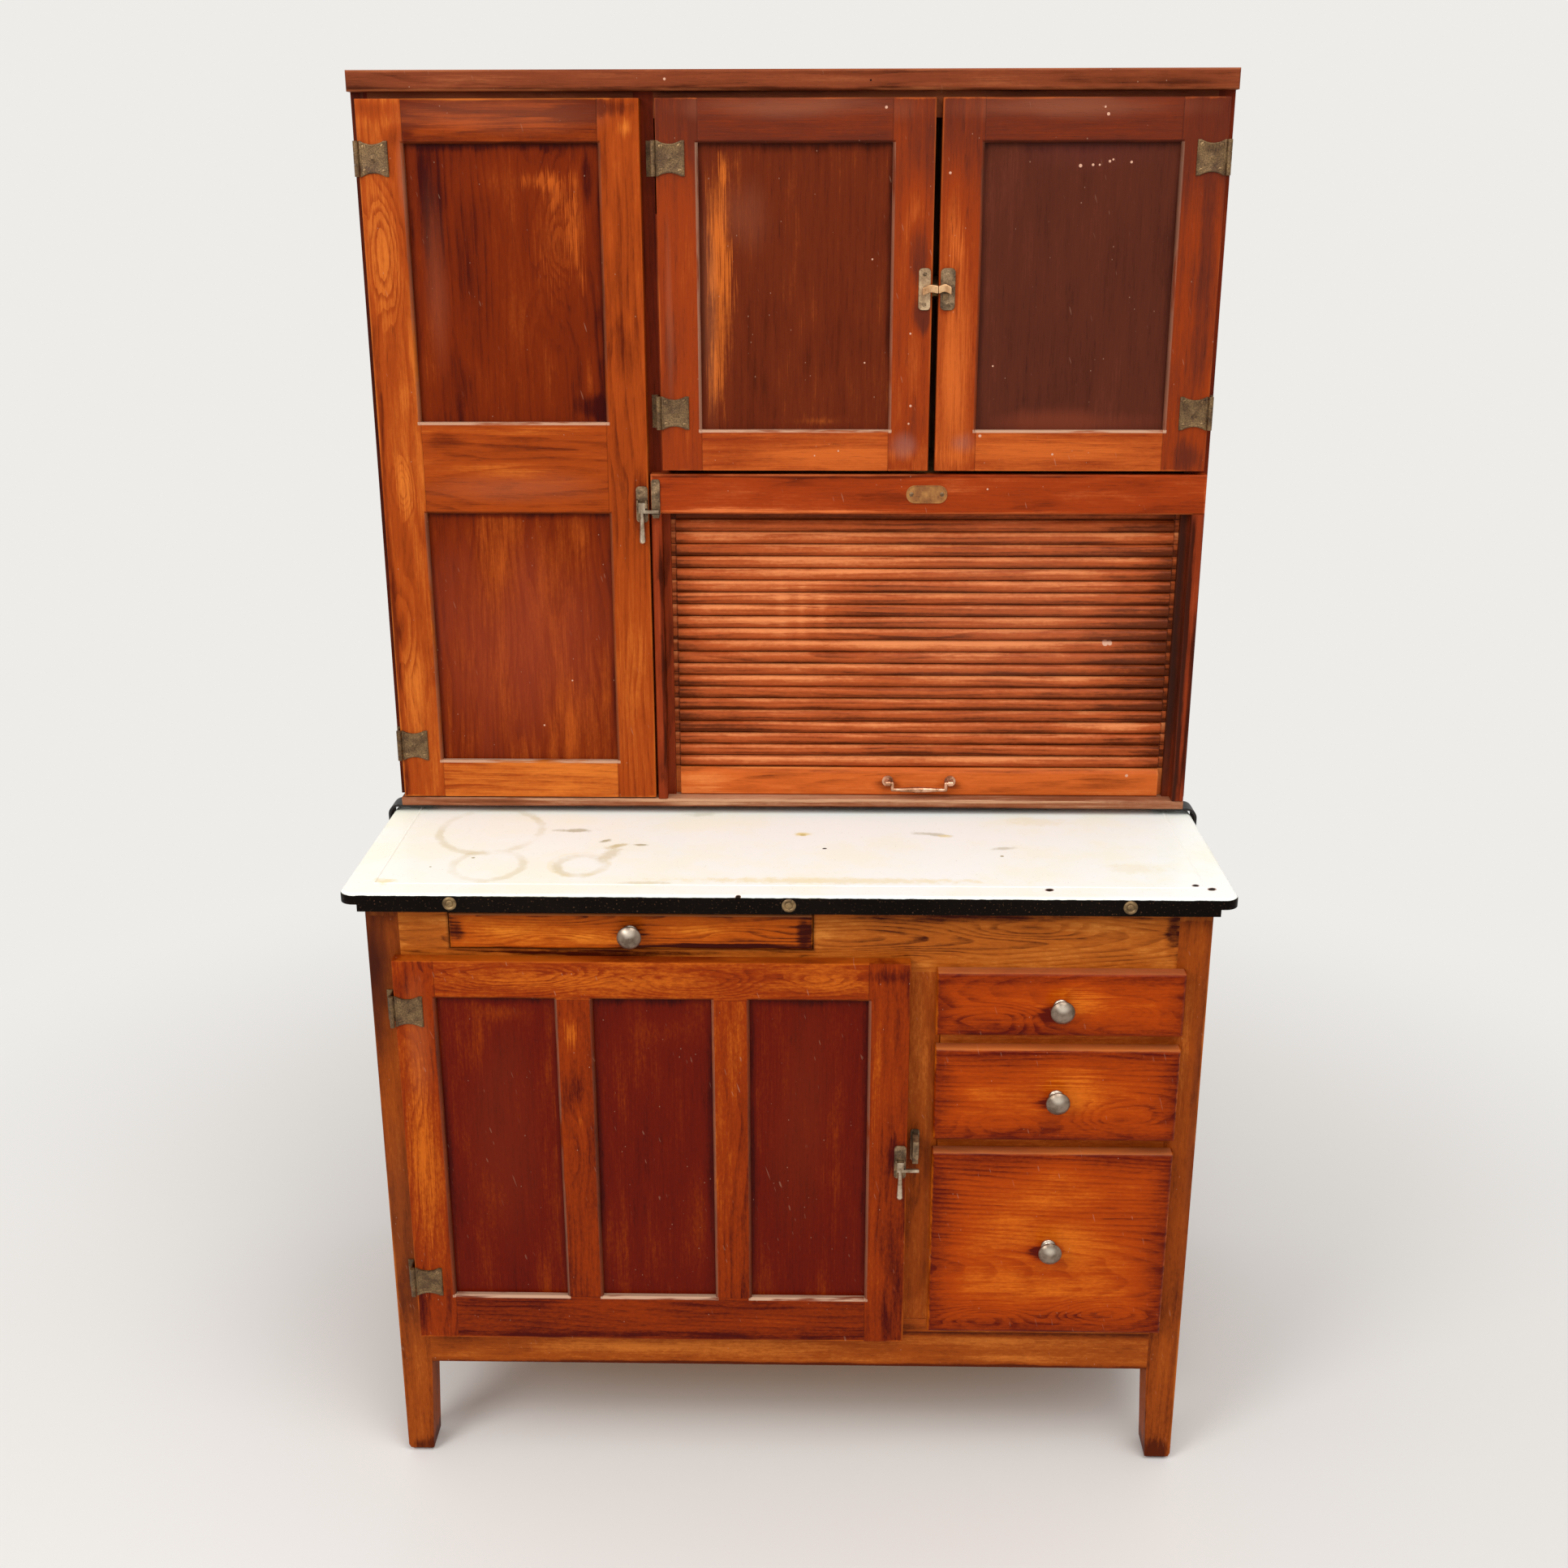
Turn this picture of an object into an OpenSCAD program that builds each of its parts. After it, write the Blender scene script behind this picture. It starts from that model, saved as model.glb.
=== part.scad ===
// Two-part kitchen cabinet: a base cupboard on legs with a sliding enamelled
// worktop, and a hutch with panelled doors and a roll-up slatted curtain.
// X runs to the right, Y to the back, Z up; the origin is under the middle of the footprint.

/* [Base] */
// Width over the legs
base_w = 1032; // [900:1:1150]
// Depth from the front of the legs to the back boards
base_d = 566; // [500:1:640]
// Height of the worktop surface
worktop_z = 828.5; // [780:0.5:900]
// Width of a leg seen from the front
leg_w = 40; // [32:1:48]
// Depth of a leg seen from the side
leg_d = 45; // [38:1:52]
// How much a foot narrows on its inner side
leg_taper = 6; // [0:1:10]
// Underside of the lower rails above the floor
floor_gap = 143; // [110:1:170]
// Height of the lower rails
low_rail_h = 77; // [60:1:90]
// Height of the front top rail
top_rail_h = 87; // [76:1:100]
// Thickness of the face rails and stiles
face_t = 22; // [18:1:28]
// Left side of the centre stile from the middle of the cabinet
stile_x = 140; // [100:1:180]
// Width of the centre stile
stile_w = 50; // [46:1:64]
// Thickness of partitions and shelves
board_t = 14; // [10:1:18]
// Thickness of the back boards
back_t = 8; // [6:1:12]
// Number of back boards in the base
base_back_boards = 8; // [6:1:10]

/* [Drawers and bread board] */
// Height of the top drawer front
drawer1_h = 85; // [70:1:95]
// Height of the middle drawer front
drawer2_h = 127; // [100:1:150]
// Bare rail shown between drawer fronts
drawer_gap = 18; // [12:1:22]
// Lap of a drawer front over its opening
drawer_lap = 7; // [4:1:9]
// Depth of a drawer box behind its front
drawer_d = 480; // [380:1:500]
// Thickness of a drawer side
drawer_side_t = 12; // [9:1:15]
// Left end of the bread board front
bread_x = -414; // [-440:1:-380]
// Width of the bread board front
bread_w = 445; // [380:1:480]
// Height of the bread board front
bread_h = 46; // [30:1:48]
// Height of the rail left above the bread board
bread_down = 11.5; // [6:0.5:16]
// Thickness of the bread board
bread_t = 20; // [16:1:22]
// Room left behind the bread board
bread_back = 60; // [40:1:90]
// How far the base's shelf stays back from the front of the legs
shelf_back = 150; // [100:1:200]

/* [Worktop] */
// How far the worktop stands out past the legs on each side
worktop_side = 24.5; // [18:0.5:40]
// How far the worktop stands out past the legs at the front
worktop_front = 28; // [24:1:40]
// Full thickness of the worktop at its front apron
worktop_t = 23; // [20:0.5:30]
// Height of the rolled edge at the sides
roll_h = 14; // [10:0.5:18]
// Thickness of the enamelled sheet
sheet_t = 1.5; // [1:0.1:2]
// Radius of the worktop corners seen from above
worktop_r = 18; // [12:1:30]
// Distance of the raised bead from the edge
bead_in = 36; // [30:1:50]

/* [Hutch] */
// Width over the hutch sides
hutch_w = 1062; // [930:1:1080]
// Depth from the door faces to the back
hutch_d = 300; // [250:1:340]
// Gap between the worktop and the hutch
hutch_gap = 9.5; // [8:0.5:14]
// Height of the head strip behind the tops of the doors
head_h = 30; // [20:1:40]
// Height left free above the curtain's grooves
guide_clear = 140; // [100:1:200]
// Height of the hutch
hutch_h = 927; // [880:1:980]
// Thickness of the top board
cornice_t = 24; // [18:1:30]
// How far the top board stands out past each side
cornice_out = 0.5; // [0:0.5:12]
// Thickness of the hutch sides
side_t = 20; // [18:1:22]
// Thickness of the hutch bottom board
bottom_t = 12; // [10:1:16]
// Width of the tall door
tall_door_w = 341; // [300:1:360]
// Distance between the tall door and the middle door
post_gap = 18.5; // [16:0.5:24]
// Gap between the two upper doors
pair_gap = 8; // [5:0.5:12]
// Inset of the doors from the hutch sides
door_inset = 8.5; // [6:0.5:12]
// Open height of the curtain compartment
curtain_h = 386; // [340:1:420]
// Height of the rail above the curtain
rail_h = 50; // [42:1:60]

/* [Doors] */
// Thickness of every door and drawer front
door_t = 19; // [17:0.5:22]
// Width of a door stile
door_stile = 51; // [44:1:58]
// Width of the stiles along the hutch's sides
outer_stile = 55; // [46:1:62]
// Height of the bottom rail of the lower door
low_door_rail = 64; // [50:1:76]
// Height of the wide middle rail of the tall door
tall_mid_rail = 116; // [90:1:130]
// Height of the lower panel of the tall door
tall_low_panel = 332; // [300:1:350]
// Width of the mullions of the lower door
mullion_w = 47; // [38:1:52]
// Thickness of a door panel
panel_t = 6; // [5:0.5:7]
// Bevel around each panel opening
panel_bevel = 3; // [1.5:0.5:4]

/* [Curtain] */
// Pitch of the curtain slats
slat_pitch = 16; // [14:0.5:20]
// Number of slats
slat_n = 22; // [18:1:23]
// How far a slat bulges forward
slat_bulge = 6; // [4:0.5:7]
// Height of the bottom bar of the curtain
curtain_bar_h = 38; // [32:1:44]

/* [Hardware] */
// Height of a hinge plate
hinge_h = 41; // [34:1:48]
// Width of a hinge plate on the door
hinge_w = 37; // [28:1:44]
// Height of an upper or tall door's lower hinge above the door's bottom edge
hinge_up = 72; // [50:1:100]
// Height of the lower door's lower hinge above the door's bottom edge
low_hinge_up = 85; // [60:1:110]
// Distance of an upper hinge below the door's top edge
hinge_down = 68; // [50:1:100]
// Radius of a hinge knuckle
knuckle_r = 3; // [2.5:0.1:3.4]
// Radius of a hinge pin
hinge_pin_r = 1.5; // [1.2:0.1:1.7]
// Radius of a drawer knob
knob_r = 15; // [12:0.5:17]
// How far a knob stands out
knob_l = 26; // [22:1:32]
// Thickness of the hutch bracket straps
strap_t = 3; // [2:0.5:4]
// Width of the hutch bracket straps
strap_w = 32; // [24:1:40]
// Height of a hutch strap's foot on the side of the base
strap_foot = 50; // [36:1:60]
// Height of the lower door's latch above the door's bottom edge
low_latch_up = 268; // [200:1:340]
// Height of the catch between the upper doors above their bottom edges
pair_latch_up = 222; // [160:1:280]
// Height of the catch plates of the upper doors
catch_h = 50; // [40:1:60]
// Height of the keepers of the two latches
keeper_h = 48; // [40:1:60]
// Distance between the handle rosettes
bail_w = 84; // [70:1:100]

/* [Hidden] */
$fn = 48;
run_gap = 0.3;
pin_gap = 0.05;
panel_gap = 0.2;
glue_gap = 0.1;
lay_gap = 0.6;
slide_gap = 0.7;

// Places along Y: the footprint is centred between the knobs and the back
door_gap = lay_gap;
all_d = base_d + door_gap + door_t + knob_l;
y_back = all_d / 2;
leg_y = y_back - base_d;
base_door_y = leg_y - door_gap - door_t;
back_y = y_back - back_t;
face_back_y = leg_y + face_t;
hutch_y = y_back - hutch_d;
case_y = hutch_y + door_t + door_gap;

// Heights in the base
leg_top = worktop_z - worktop_t - run_gap;
low_rail_top = floor_gap + low_rail_h;
top_rail_z = worktop_z - worktop_t - top_rail_h;
low_door_z = low_rail_top - 23;
low_door_top = top_rail_z + 19;
drawer_top = top_rail_z + drawer_lap;

// Places along X in the base
worktop_w = base_w + 2 * worktop_side;
leg_x = base_w / 2 - leg_w;
drawer_x0 = stile_x + stile_w;
part_x = stile_x + stile_w / 2 + drawer_lap;
drawer_z = [
    drawer_top - drawer1_h,
    drawer_top - drawer1_h - drawer_gap - drawer2_h,
    low_rail_top - drawer_lap - 1];
drawer_h = [
    drawer1_h,
    drawer2_h,
    drawer_z[1] - drawer_gap - drawer_z[2]];
front_x0 = drawer_x0 - drawer_lap;
front_x1 = leg_x + drawer_lap + 3;
runner_w = 20;
runner_h = 14;

// Places in the hutch
hutch_x = hutch_w / 2;
hutch_z = worktop_z + hutch_gap;
case_z = hutch_z + bottom_t;
hutch_top_z = hutch_z + hutch_h;
case_top = hutch_top_z - cornice_t;
door_top = case_top - 8;
tall_z = case_z + 2;
rail_z = case_z + curtain_h;
upper_z = rail_z + rail_h + 5;
tall_x0 = -hutch_x + door_inset;
tall_x1 = tall_x0 + tall_door_w;
mid_x0 = tall_x1 + post_gap;
right_x1 = hutch_x - door_inset;
upper_w = (right_x1 - mid_x0 - pair_gap - outer_stile + door_stile) / 2;
mid_x1 = mid_x0 + upper_w;
right_x0 = mid_x1 + pair_gap;
wall_x1 = mid_x0 - 3;
wall_x0 = tall_x1 - 8.5;
post_x0 = tall_x1 + 3;
inner_x = hutch_x - side_t;
face_x = hutch_x - door_inset / 2;

// Curtain
guide_w = 10;
bead_t = 8;
groove_y = case_y + bead_t;
tongue_t = 4.4;
canvas_t = 0.8;
canvas_y = groove_y + run_gap + tongue_t;
groove_back = canvas_y + canvas_t + run_gap;
slat_x0 = wall_x1 + guide_w + 7;
slat_x1 = inner_x - guide_w - 7;
tongue_l = 10;
curtain_z = case_z + run_gap;
slat_z = curtain_z + curtain_bar_h;
slat_gap = 0.4;
bar_y = case_y - 2;
guide_top = case_top - guide_clear;
shelf_y = groove_back + 10;

// Doors: pivot line in front of the door face
pin_y = knuckle_r;
inner_pin = 3;

// Catches
case_w = 15;
lever_z = rail_z + 12;
low_lever_z = low_door_z + low_latch_up;
pair_latch_z = upper_z + pair_latch_up;

// A box between two corners
module slab(x0, x1, y0, y1, z0, z1) {
    translate([x0, y0, z0])
        cube([x1 - x0, y1 - y0, z1 - z0]);
}

// A board standing on end, with small bevels on its front edges
module plank(x0, x1, y0, y1, z0, z1, c = 1.5) {
    translate([0, 0, z0])
        linear_extrude(z1 - z0)
            polygon([[x0 + c, y0], [x1 - c, y0], [x1, y0 + c], [x1, y1], [x0, y1], [x0, y0 + c]]);
}

// A lying front whose four front edges are rounded over
module rounded_front(x0, x1, y0, y1, z0, z1, r = 5) {
    intersection() {
        translate([0, 0, z0])
            linear_extrude(z1 - z0)
                front_section(x0, x1, y0, y1, r);
        translate([x0, 0, 0])
            rotate([90, 0, 90])
                linear_extrude(x1 - x0)
                    rotate(90)
                        mirror([0, 1, 0])
                            front_section(z0, z1, y0, y1, r);
    }
}

// Section of a front: square at the back, quarter rounds at the front corners
module front_section(a0, a1, y0, y1, r) {
    translate([a0, y0 + r])
        square([a1 - a0, y1 - y0 - r]);
    translate([a0 + r, y0])
        square([a1 - a0 - 2 * r, y1 - y0]);
    for (a = [a0 + r, a1 - r])
        translate([a, y0 + r])
            circle(r);
}

// Legs -----------------------------------------------------------------------

module leg(side, y0) {
    taper_z = floor_gap - 6;
    foot = 5;
    intersection() {
        translate([0, y0 + leg_d, 0])
            rotate([90, 0, 0])
                linear_extrude(leg_d)
                    polygon([
                        [side * (base_w / 2 - foot), 0],
                        [side * (base_w / 2), foot * 2],
                        [side * (base_w / 2), leg_top],
                        [side * leg_x, leg_top],
                        [side * leg_x, taper_z],
                        [side * (leg_x + leg_taper), foot],
                        [side * (leg_x + leg_taper + foot), 0]]);
        translate([-base_w / 2, 0, 0])
            rotate([90, 0, 90])
                linear_extrude(base_w)
                    polygon([
                        [y0 + foot, 0],
                        [y0 + leg_d - foot, 0],
                        [y0 + leg_d, foot],
                        [y0 + leg_d, leg_top],
                        [y0, leg_top],
                        [y0, foot]]);
    }
}

module leg_pair_front() {
    color("peru")
        for (side = [-1, 1])
            leg(side, leg_y);
}

module leg_pair_rear() {
    color("peru")
        for (side = [-1, 1])
            leg(side, y_back - leg_d);
}

// Face frame -------------------------------------------------------------------

// The slot for the bread board is left open between two blocks above the rail
bread_gap = 1;
bread_z = leg_top - bread_h - bread_down;
block_z = bread_z - bread_gap + glue_gap;

module base_top_rail() {
    color("chocolate") {
        slab(-leg_x, leg_x, leg_y, face_back_y, top_rail_z, bread_z - bread_gap);
        slab(-leg_x, bread_x - bread_gap, leg_y, face_back_y, block_z, leg_top);
        slab(bread_x + bread_w + bread_gap, leg_x, leg_y, face_back_y, block_z, leg_top);
    }
}

module base_bottom_rail() {
    color("peru")
        plank_x(-leg_x, leg_x, leg_y, face_back_y, floor_gap, low_rail_top);
}

// A lying rail with small bevels along its front edges
module plank_x(x0, x1, y0, y1, z0, z1, c = 2) {
    translate([x0, 0, 0])
        rotate([90, 0, 90])
            linear_extrude(x1 - x0)
                polygon([[y0 + c, z0], [y1, z0], [y1, z1], [y0 + c, z1], [y0, z1 - c], [y0, z0 + c]]);
}

// Bare rails behind the meeting edges of the drawer fronts
function divider_z(i) = drawer_z[i] - drawer_gap - drawer_lap / 2;

module base_face_stile() {
    color("peru") {
        plank(stile_x, drawer_x0, leg_y, face_back_y, low_rail_top, top_rail_z);
        for (i = [0, 1])
            plank_x(drawer_x0 + glue_gap, leg_x, leg_y, face_back_y, divider_z(i),
                drawer_z[i] + drawer_lap / 2);
    }
}

// Sides, back and inside ---------------------------------------------------------

side_top_z = leg_top - 11;
side_mid_h = 50;
side_tongue = 6;
side_panel_x = leg_x + 14;

module base_side(side) {
    y0 = leg_y + leg_d;
    y1 = y_back - leg_d;
    mid_z = (low_rail_top + side_top_z - top_rail_h) / 2;
    rails = [
        [floor_gap, low_rail_top],
        [mid_z - side_mid_h / 2, mid_z + side_mid_h / 2],
        [side_top_z - top_rail_h, side_top_z]];
    multmatrix([[side, 0, 0, 0], [0, 1, 0, 0], [0, 0, 1, 0]]) {
        for (r = rails)
            slab(leg_x, base_w / 2, y0, y1, r[0], r[1]);
        slab(side_panel_x, side_panel_x + back_t, y0, y1, low_rail_top - side_tongue,
            side_top_z - top_rail_h + side_tongue);
    }
}

module base_side_left() {
    color("sienna")
        mirror([1, 0, 0])
            base_side(1);
}

module base_side_right() {
    color("sienna")
        base_side(1);
}

// Upright boards, tongued into one wall, with bevelled meeting edges
module board_wall(x0, x1, y0, y1, z0, z1, n) {
    w = (x1 - x0) / n;
    c = 1.5;
    slab(x0, x1, y0, y1 - c, z0, z1);
    for (i = [0 : n - 1])
        translate([x0 + i * w, 0, z0])
            linear_extrude(z1 - z0)
                polygon([[0, y0], [w, y0], [w, y1 - c], [w - c, y1], [c, y1], [0, y1 - c]]);
}

module base_back() {
    color("burlywood")
        board_wall(-leg_x, leg_x, back_y, y_back, floor_gap + 6, side_top_z, base_back_boards);
}

floor_z = low_rail_top - board_t;

module base_floor() {
    color("burlywood")
        slab(-leg_x, leg_x, face_back_y, back_y, floor_z, low_rail_top);
}

module base_partition() {
    color("burlywood")
        slab(part_x, part_x + board_t, face_back_y, back_y, low_rail_top, side_top_z);
}

shelf_z = (low_rail_top + top_rail_z) / 2;

module base_shelf() {
    color("burlywood")
        slab(-leg_x, part_x, leg_y + shelf_back, back_y, shelf_z, shelf_z + board_t);
}

// Drawer boxes run on strips fixed to the partition and to the right legs
box_x0 = drawer_x0 + 2;
box_x1 = leg_x - 2;
function box_z(i) = i == 2 ? low_rail_top + run_gap : drawer_z[i] + drawer_lap / 2 + slide_gap;
function box_top(i) = i == 0 ? top_rail_z - 4 : divider_z(i - 1) - 4;

module drawer_runners() {
    color("tan")
        for (i = [0, 1]) {
            z1 = box_z(i) - run_gap;
            slab(part_x + board_t, box_x0 + runner_w, face_back_y, back_y, z1 - runner_h, z1);
            slab(leg_x - runner_w, leg_x, face_back_y, back_y, z1 - runner_h, z1);
        }
}

module top_runners() {
    color("tan")
        for (side = [-1, 1])
            scale_x(side)
                slab(leg_x + 4, base_w / 2 - 4, leg_y + leg_d, y_back - leg_d, side_top_z, leg_top);
}

// A mirrored copy for the left side
module scale_x(side) {
    if (side > 0)
        children();
    else
        mirror([1, 0, 0])
            children();
}

// Bread board --------------------------------------------------------------------

bread_in = 5;
bread_board_z = bread_z + 6;
bread_d = base_d - face_t - back_t - bread_back;

module bread_guides() {
    lip = bread_t * 0.6;
    reach = bread_t;
    strip = bread_t * 0.9;
    rest_z = bread_board_z - run_gap;
    x0 = bread_x + bread_in;
    x1 = bread_x + bread_w - bread_in;
    color("tan") {
        slab(x0 - lip, x0 + reach, face_back_y, back_y, rest_z - strip, rest_z);
        slab(x1 - reach, x1 + lip, face_back_y, back_y, rest_z - strip, rest_z);
        slab(x0 - lip, x0 - 1, face_back_y, back_y, rest_z + glue_gap, rest_z + bread_t * 0.7);
        slab(x1 + 1, x1 + lip, face_back_y, back_y, rest_z + glue_gap, rest_z + bread_t * 0.7);
    }
}

module breadboard() {
    color("chocolate") {
        rounded_front(bread_x, bread_x + bread_w, leg_y - 3, leg_y + face_t - 3, bread_z,
            bread_z + bread_h, 3);
        slab(bread_x + bread_in, bread_x + bread_w - bread_in, leg_y + face_t - 3, leg_y + face_t + bread_d,
            bread_board_z, bread_board_z + bread_t);
    }
}

// Knobs ----------------------------------------------------------------------------

// A mushroom knob that stands out towards the front from a face at y
module knob(x, y, z) {
    dome_r = knob_r * 1.12;
    neck_r = knob_r * 0.42;
    rim = knob_l - knob_r * 0.7;
    translate([x, y, z])
        rotate([90, 0, 0]) {
            cylinder(h = 3, r = knob_r * 0.62);
            cylinder(h = rim, r = neck_r);
            translate([0, 0, rim - 5])
                cylinder(h = 5, r1 = neck_r, r2 = knob_r);
            intersection() {
                translate([0, 0, rim])
                    cylinder(h = knob_l, r = knob_r);
                translate([0, 0, knob_l - dome_r])
                    sphere(dome_r);
            }
        }
}

module breadboard_knob() {
    color("silver")
        knob(bread_x + bread_w / 2, leg_y - 3, bread_z + bread_h / 2);
}

// Drawers ----------------------------------------------------------------------------

module drawer_front(i) {
    color("chocolate")
        rounded_front(front_x0, front_x1, base_door_y, base_door_y + door_t, drawer_z[i],
            drawer_z[i] + drawer_h[i], 6);
}

// Box with its bottom in grooves and its sides dovetailed into the front
module drawer_box(i) {
    t = drawer_side_t;
    y0 = base_door_y + door_t;
    y1 = y0 + drawer_d;
    z0 = box_z(i);
    z1 = box_top(i);
    base_z = z0 + 8;
    groove = 5;
    bottom = 6;
    color("wheat") {
        for (x = [box_x0, box_x1 - t])
            difference() {
                slab(x, x + t, y0, y1, z0, z1);
                slab(box_x0 + t - groove, box_x1 - t + groove, y0 - 1, y1 + 1, base_z,
                    base_z + bottom);
            }
        for (y = [y0, y1 - t])
            slab(box_x0 + t + glue_gap, box_x1 - t - glue_gap, y, y + t, base_z + bottom + glue_gap,
                y == y0 ? z1 : z1 - 6);
        slab(box_x0 + t - groove + panel_gap, box_x1 - t + groove - panel_gap, y0, y1,
            base_z + panel_gap / 2, base_z + bottom - panel_gap / 2);
    }
}

module drawer_knob(i) {
    color("silver")
        knob((front_x0 + front_x1) / 2, base_door_y, drawer_z[i] + drawer_h[i] / 2);
}

module drawer_1_front() {
    drawer_front(0);
}

module drawer_1_box() {
    drawer_box(0);
}

module drawer_1_knob() {
    drawer_knob(0);
}

module drawer_2_front() {
    drawer_front(1);
}

module drawer_2_box() {
    drawer_box(1);
}

module drawer_2_knob() {
    drawer_knob(1);
}

module drawer_3_front() {
    drawer_front(2);
}

module drawer_3_box() {
    drawer_box(2);
}

module drawer_3_knob() {
    drawer_knob(2);
}

// Worktop ------------------------------------------------------------------------------

sheet_y0 = leg_y - worktop_front;
sheet_y1 = y_back - 4;
sheet_x = worktop_w / 2;
edge_r = 5;
apron_x = base_w / 2 + 2;

// Section of the sheet's rolled edge, with the outer face at x = 0
module roll_section(h) {
    difference() {
        union() {
            translate([-edge_r, -edge_r])
                circle(edge_r);
            translate([-edge_r - 1, -edge_r])
                square([1, edge_r]);
            translate([-sheet_t, -h])
                square([sheet_t, h - edge_r]);
        }
        translate([-edge_r, -edge_r])
            circle(edge_r - sheet_t);
        translate([-2 * edge_r - 1, -h - 1])
            square([2 * edge_r + 1 - sheet_t, h + 1 - edge_r]);
        translate([-2 * edge_r - 1, -edge_r - 1])
            square([edge_r + 1, edge_r + 1 - sheet_t]);
    }
}

module worktop_sheet() {
    bead_r = 3;
    bead_up = 0.7;
    x1 = sheet_x - worktop_r;
    y0 = sheet_y0 + worktop_r;
    y1 = sheet_y1 - worktop_r;
    color("white") {
        // flat of the sheet
        translate([0, 0, worktop_z - sheet_t])
            linear_extrude(sheet_t) {
                translate([-x1, sheet_y0 + edge_r])
                    square([2 * x1, sheet_y1 - sheet_y0 - 2 * edge_r]);
                translate([-sheet_x + edge_r, y0])
                    square([2 * (sheet_x - edge_r), y1 - y0]);
                for (x = [-x1, x1])
                    for (y = [y0, y1])
                        translate([x, y])
                            circle(worktop_r - edge_r);
            }
        // rolled sides, back and the deeper front apron
        for (side = [-1, 1])
            scale_x(side)
                translate([sheet_x, y1, worktop_z])
                    rotate([90, 0, 0])
                        linear_extrude(y1 - y0)
                            roll_section(roll_h);
        translate([-x1, sheet_y1, worktop_z])
            rotate([90, 0, 90])
                linear_extrude(2 * x1)
                    roll_section(roll_h);
        translate([x1, sheet_y0, worktop_z])
            rotate([90, 0, -90])
                linear_extrude(2 * x1)
                    roll_section(roll_h);
        slab(-apron_x, apron_x, sheet_y0, sheet_y0 + sheet_t, worktop_z - worktop_t, worktop_z - edge_r);
        // corners
        for (side = [-1, 1])
            scale_x(side) {
                translate([x1, y0, worktop_z])
                    rotate(-90)
                        rotate_extrude(angle = 90)
                            translate([worktop_r, 0])
                                roll_section(roll_h);
                translate([x1, y1, worktop_z])
                    rotate_extrude(angle = 90)
                        translate([worktop_r, 0])
                            roll_section(roll_h);
            }
        // raised bead inside the edge
        for (side = [-1, 1])
            scale_x(side)
                translate([sheet_x - bead_in, sheet_y1 - bead_in, worktop_z + bead_up - bead_r])
                    rotate([90, 0, 0])
                        bead(sheet_y1 - sheet_y0 - 2 * bead_in, bead_r, bead_up);
        for (y = [sheet_y0 + bead_in, sheet_y1 - bead_in])
            translate([-sheet_x + bead_in, y, worktop_z + bead_up - bead_r])
                rotate([90, 0, 90])
                    bead(2 * (sheet_x - bead_in), bead_r, bead_up);
    }
}

// The part of a lying rod that shows above the sheet
module bead(l, r, up) {
    linear_extrude(l)
        intersection() {
            circle(r);
            translate([-r, r - up - sheet_t / 2])
                square([2 * r, up + sheet_t / 2]);
        }
}

// Wooden board that the sheet is dressed over, eased where the sheet rolls round it
module worktop_board() {
    color("dimgray")
        plank_x(-apron_x + 1, apron_x - 1, sheet_y0 + sheet_t + glue_gap, sheet_y1 - edge_r,
            worktop_z - worktop_t, worktop_z - sheet_t - glue_gap, edge_r - 1);
}

// Doors --------------------------------------------------------------------------------

groove_d = 8;
panel_y = 9;

// What is cut from the frame for one panel: the opening with its bevelled front
// edges, and the groove that holds the panel
module panel_cut(p, y) {
    b = panel_bevel;
    slab(p[0], p[1], y - 1, y + door_t + 1, p[2], p[3]);
    slab(p[0] - groove_d, p[1] + groove_d, y + panel_y, y + panel_y + panel_t,
        p[2] - groove_d, p[3] + groove_d);
    intersection() {
        translate([0, 0, p[2] - 2 * b])
            linear_extrude(p[3] - p[2] + 4 * b)
                polygon([[p[0] - 2 * b, y - b], [p[1] + 2 * b, y - b], [p[1], y + b], [p[0], y + b]]);
        translate([p[0] - 2 * b, 0, 0])
            rotate([90, 0, 90])
                linear_extrude(p[1] - p[0] + 4 * b)
                    polygon([[y - b, p[2] - 2 * b], [y - b, p[3] + 2 * b], [y + b, p[3]], [y + b, p[2]]]);
    }
}

// Frame members of a door, each a piece of wood of its own
module door_frame(members, panels, y) {
    for (m = members)
        difference() {
            plank(m[0], m[1], y, y + door_t, m[2], m[3], 0.8);
            for (p = panels)
                panel_cut(p, y);
        }
}

module door_panels(panels, y) {
    g = groove_d - panel_gap;
    for (p = panels)
        slab(p[0] - g, p[1] + g, y + panel_y + panel_gap / 2, y + panel_y + panel_t - panel_gap / 2,
            p[2] - g, p[3] + g);
}

// Door with one row of panels: two stiles, a top rail, a bottom rail b high, mullions m
// wide and a right stile e wide
function row_members(x0, x1, z0, z1, n, m, b, e) =
    let(s = door_stile, w = (x1 - x0 - s - e - (n - 1) * m) / n)
    concat(
        [[x0, x0 + s, z0, z1], [x1 - e, x1, z0, z1],
         [x0 + s, x1 - e, z0, z0 + b], [x0 + s, x1 - e, z1 - s, z1]],
        [for (i = [1 : 1 : n - 1])
            [x0 + s + i * (w + m) - m, x0 + s + i * (w + m), z0 + b, z1 - s]]);
function row_panels(x0, x1, z0, z1, n, m, b, e) =
    let(s = door_stile, w = (x1 - x0 - s - e - (n - 1) * m) / n)
    [for (i = [0 : n - 1])
        [x0 + s + i * (w + m), x0 + s + i * (w + m) + w, z0 + b, z1 - s]];

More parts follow.
